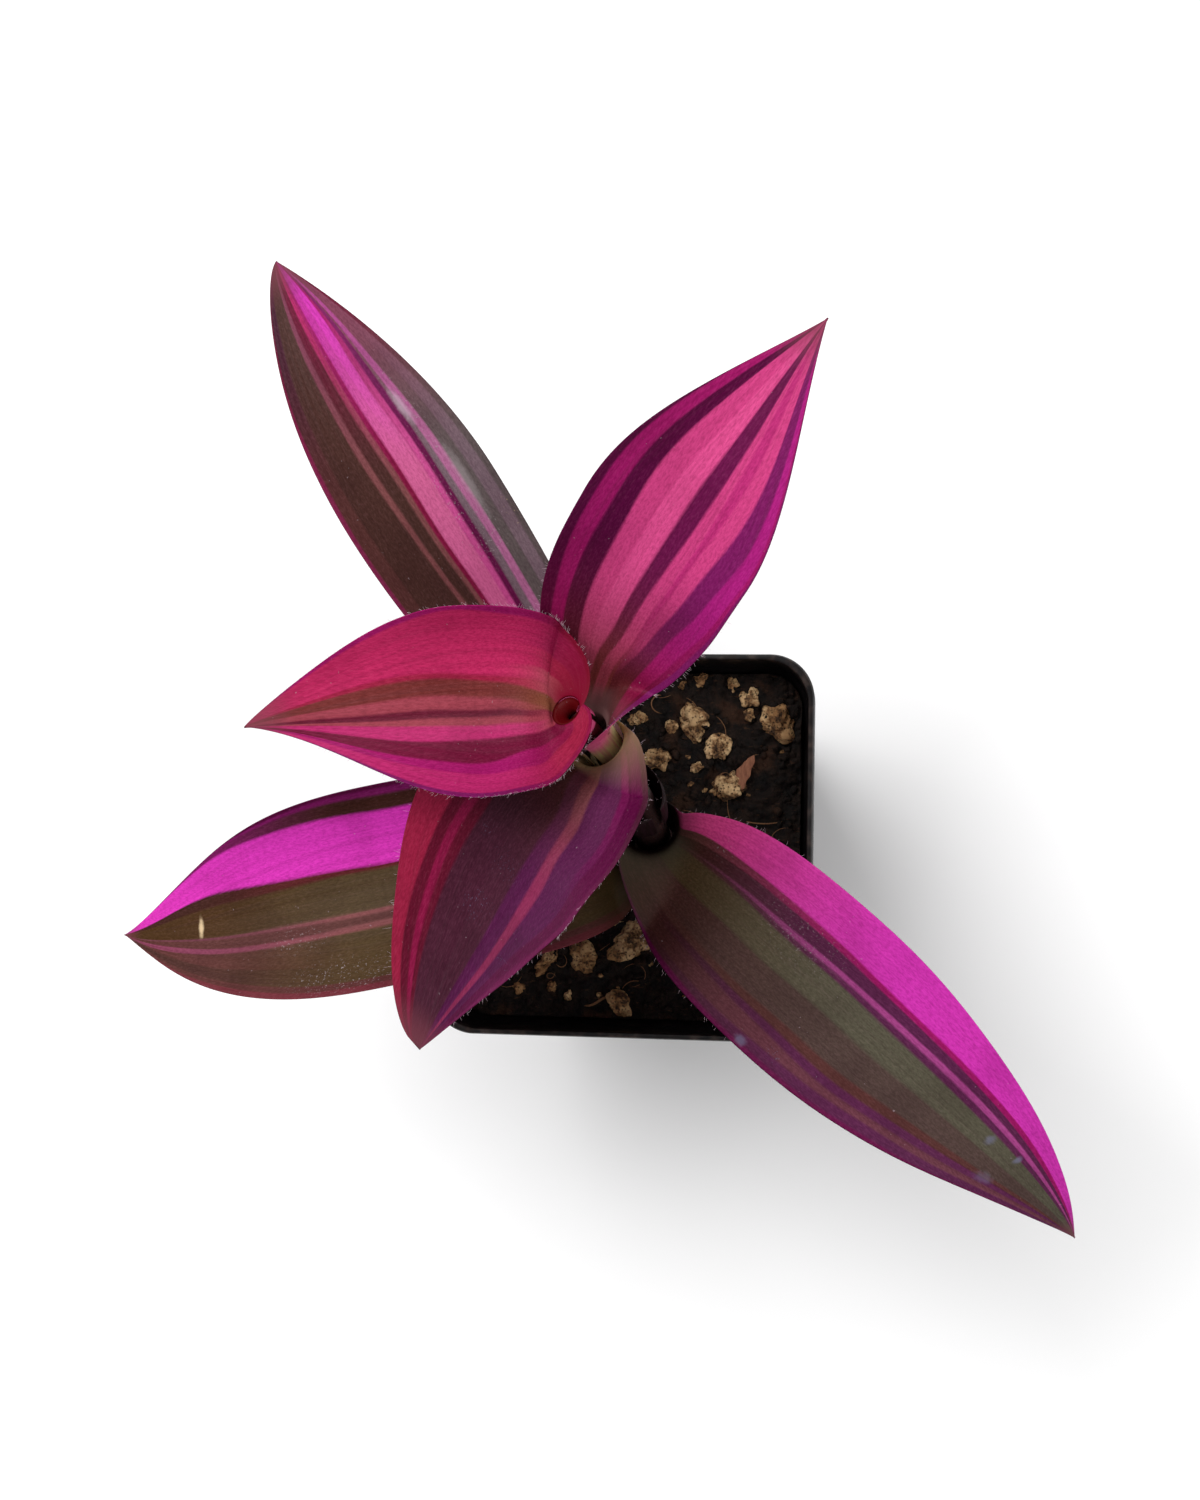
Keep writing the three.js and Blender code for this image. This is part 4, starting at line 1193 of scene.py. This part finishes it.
def upper_skin(name, fade, stripes):
    """The striped upper side: a ramp for each end, blended along the leaf, streaked
    lengthways, with a darker tip, its heel's tint, painted shade at its mouth, pale specks and
    its marks, some of them painted highlights and sheen."""
    finish = Finish(name + "_upper", Specular_IOR_Level=0.06)
    bands = finish.map("stripes")
    spread = finish.map("spread")
    place = finish.place()
    across = finish.part(bands, 0)
    along = finish.part(bands, 1) * 2 - 1
    wobble = finish.grain(spread, (9, 5, 1), 3) - 0.5
    fray = finish.grain(spread, (90, 7, 1), 2) - 0.5
    across = across + (wobble * 0.4 + fray * 0.4) * (0.3 / len(stripes))
    near, far = (stripe_ramp(finish, name, across, stripes, end) for end in (0, 1))
    tone = finish.mix(along.step(*fade), near, far)
    streaks = finish.grain(spread, (46, 2.6, 1), 4, 0.6)
    fine = finish.grain(spread, (130, 5, 1), 3, 0.6)
    darker = finish.mix(1.0, tone, ink("a08494"), "MULTIPLY")
    lighter = finish.mix(1.0, tone, ink("5a3a44"), "SCREEN")
    tone = finish.mix(streaks.step(0.42, 0.68) * 0.24, tone, darker)
    tone = finish.mix(fine.step(0.5, 0.75) * 0.14, tone, lighter)
    measured = finish.map("measured")
    cells = finish.grain(measured, (3.4, 1.3, 1), 4, 0.75)
    tone = finish.mix(cells.step(0.42, 0.66) * 0.4, tone, darker)
    tone = finish.mix((1 - cells.step(0.34, 0.5)) * 0.16, tone, lighter)
    blush = finish.noise(place, 90, 2)
    tone = finish.mix(blush.step(0.45, 0.7) * 0.25, tone, darker)
    tone = finish.mix(along.step(0.93, 0.995) * 0.75, tone, ink("6c3440"))
    tone = with_heel(finish, name, tone, spread, along)
    specks = finish.noise(place, 1500, 2).step(0.72, 0.78) * blush.step(0.48, 0.6)
    tone = finish.mix(specks * 0.35, tone, ink("a8949c"))
    tone = with_marks(finish, name, tone, spread, place)
    pores = finish.noise(place, 4200, 2)
    relief = finish.bump(streaks, 0.0001, 0.4)
    finish.shade(
        Base_Color=tone, Roughness=0.4 + streaks * 0.14 + specks * 0.2,
        Normal=finish.bump(pores, 0.00007, 0.45, relief),
    )
    return finish.material


SHEATH_FLUSH = (0.103, 0.106)  # heights in metres over which the sheaths turn pink, lightened as painted light against the leaves' shade
SHEATH_FADE = (0.06, 0.18)  # shares of the length between which a sheath's tint fades


def lower_skin():
    """The purple underside, streaked lighter and darker, and the sheaths' outside: painted
    shade, nearly black, on the low ones, and above them a straw colour and on the highest a
    pink, both the sheaths' own tints lightened as painted light where the leaves above shade them."""
    finish = Finish("leaf_underside", Specular_IOR_Level=0.12)
    spread = finish.map("spread")
    place = finish.place()
    along = finish.part(spread, 1) * 2 - 1
    streaks = finish.grain(spread, (40, 2, 1), 3)
    blotch = finish.noise(place, 70, 3)
    tone = finish.mix(streaks.step(0.3, 0.7), ink("4c1440"), ink("742660"))
    tone = finish.mix(blotch.step(0.5, 0.8) * 0.4, tone, ink("5c4a3c"))
    rise = finish.part(place, 2)
    # The sheaths' own straw tint, lightened as painted light where the leaves above shade it
    pale = finish.mix(streaks.step(0.35, 0.65), ink("b3a873"), ink("a9806a"))
    # Painted shade: the low sheaths are painted nearly black
    painted_shade = finish.mix(streaks.step(0.35, 0.65), ink("180c0c"), ink("221016"))
    sheath = finish.mix(rise.step(*PAINTED_SHADE_ENDS), painted_shade, pale)
    # The top sheaths' own crimson, lightened to pink as painted light under the shading lobes
    sheath = finish.mix(rise.step(*SHEATH_FLUSH), sheath, ink("c8507c"))
    tone = finish.mix(1 - along.step(*SHEATH_FADE), tone, sheath)
    finish.shade(
        Base_Color=tone, Roughness=0.45 + streaks * 0.1, Normal=finish.bump(streaks, 0.0002, 0.5),
    )
    return finish.material


underside = lower_skin()
for name, leaf in LEAVES.items():
    stations, fade, stripes = STRIPES[name]
    points, faces, below, maps = leaf_mesh(name, leaf, stripes, stations)
    materials = [upper_skin(name, fade, stripes), underside]
    blade = new_piece(name.replace("leaf", "blade"), points, faces, materials, below, maps)
    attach(blade, "root")
    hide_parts(name)


# ---- Hairs ----------------------------------------------------------------------------
# Fine pale hairs that grow from the leaves: a fringe along both margins of each blade,
# densest on the youngest leaf and near the stem.

HAIR_STEPS = 5
HAIR_RADII = (0.018, 0.005)  # next to the root and next to the tip
ROOT_DEPTH = 0.05
# Each leaf's count of hairs, the stretch of its margins that they line, and their length
HAIRS = {
    "leaf_lower_left": (70, 0.0, 0.5, 0.9), "leaf_lower_right": (90, 0.0, 0.5, 1.0),
    "leaf_upper_left": (60, 0.0, 0.6, 0.8), "leaf_lower_middle": (170, 0.0, 0.95, 1.0),
    "leaf_upper_right": (190, 0.0, 0.8, 1.0), "leaf_top_left": (380, 0.14, 0.97, 1.0),
}


def margin_hairs(leaf, count, start, end, length, seed):
    """Curved tapering hairs on both margins, from seeded places along them, that lean out
    from the blade, a little upwards and towards its tip."""
    draw = np.random.default_rng(seed)
    s = start + (end - start) * draw.uniform(0, 1, count) ** 1.25
    v = np.where(draw.uniform(0, 1, count) < 0.5, -1.0, 1.0)
    root = leaf_surface(leaf, s, v)[0]
    out = unit_of(root - leaf_surface(leaf, s, v * 0.93)[0])
    along = unit_of(leaf_surface(leaf, np.minimum(s + 0.01, 1), v)[0] - root)
    upwards = facing(leaf, s, v * 0.98)
    raised, leaning = draw.uniform((-0.2, -0.1), (0.7, 0.8), (count, 2)).T[..., None]
    way = unit_of(out + upwards * raised + along * leaning)
    size = length * draw.uniform(0.45, 1.1, (count, 1))
    t = np.linspace(0, 1, HAIR_STEPS)[None, :, None]
    bend = draw.normal(0, 0.18, (count, 1, 3))
    hair = (way[:, None] * t + bend * t ** 2) * size[:, None]
    paths = root[:, None] + hair - out[:, None] * ROOT_DEPTH
    radii = np.linspace(*HAIR_RADII, HAIR_STEPS)[None] * np.ones((count, 1))
    radii[:, [0, -1]] = 0
    return paths, radii


hair_finish = Finish("white_hair", Specular_IOR_Level=0.3)
place = hair_finish.place()
shade_noise = hair_finish.noise(place, 400, 2)
hair_finish.shade(
    Base_Color=hair_finish.mix(shade_noise, ink("b08a9c"), ink("e4d2d8")), Roughness=0.5 + shade_noise * 0.1,
)
for seed, (name, (count, start, end, length)) in enumerate(HAIRS.items(), 71):
    paths, radii = margin_hairs(LEAVES[name], count, start, end, length, seed)
    points, faces = threads_along(paths, radii, sides=4)
    hairs = new_piece(name.replace("leaf", "hairs"), points, faces, [hair_finish.material])
    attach(hairs, "root")


low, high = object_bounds()
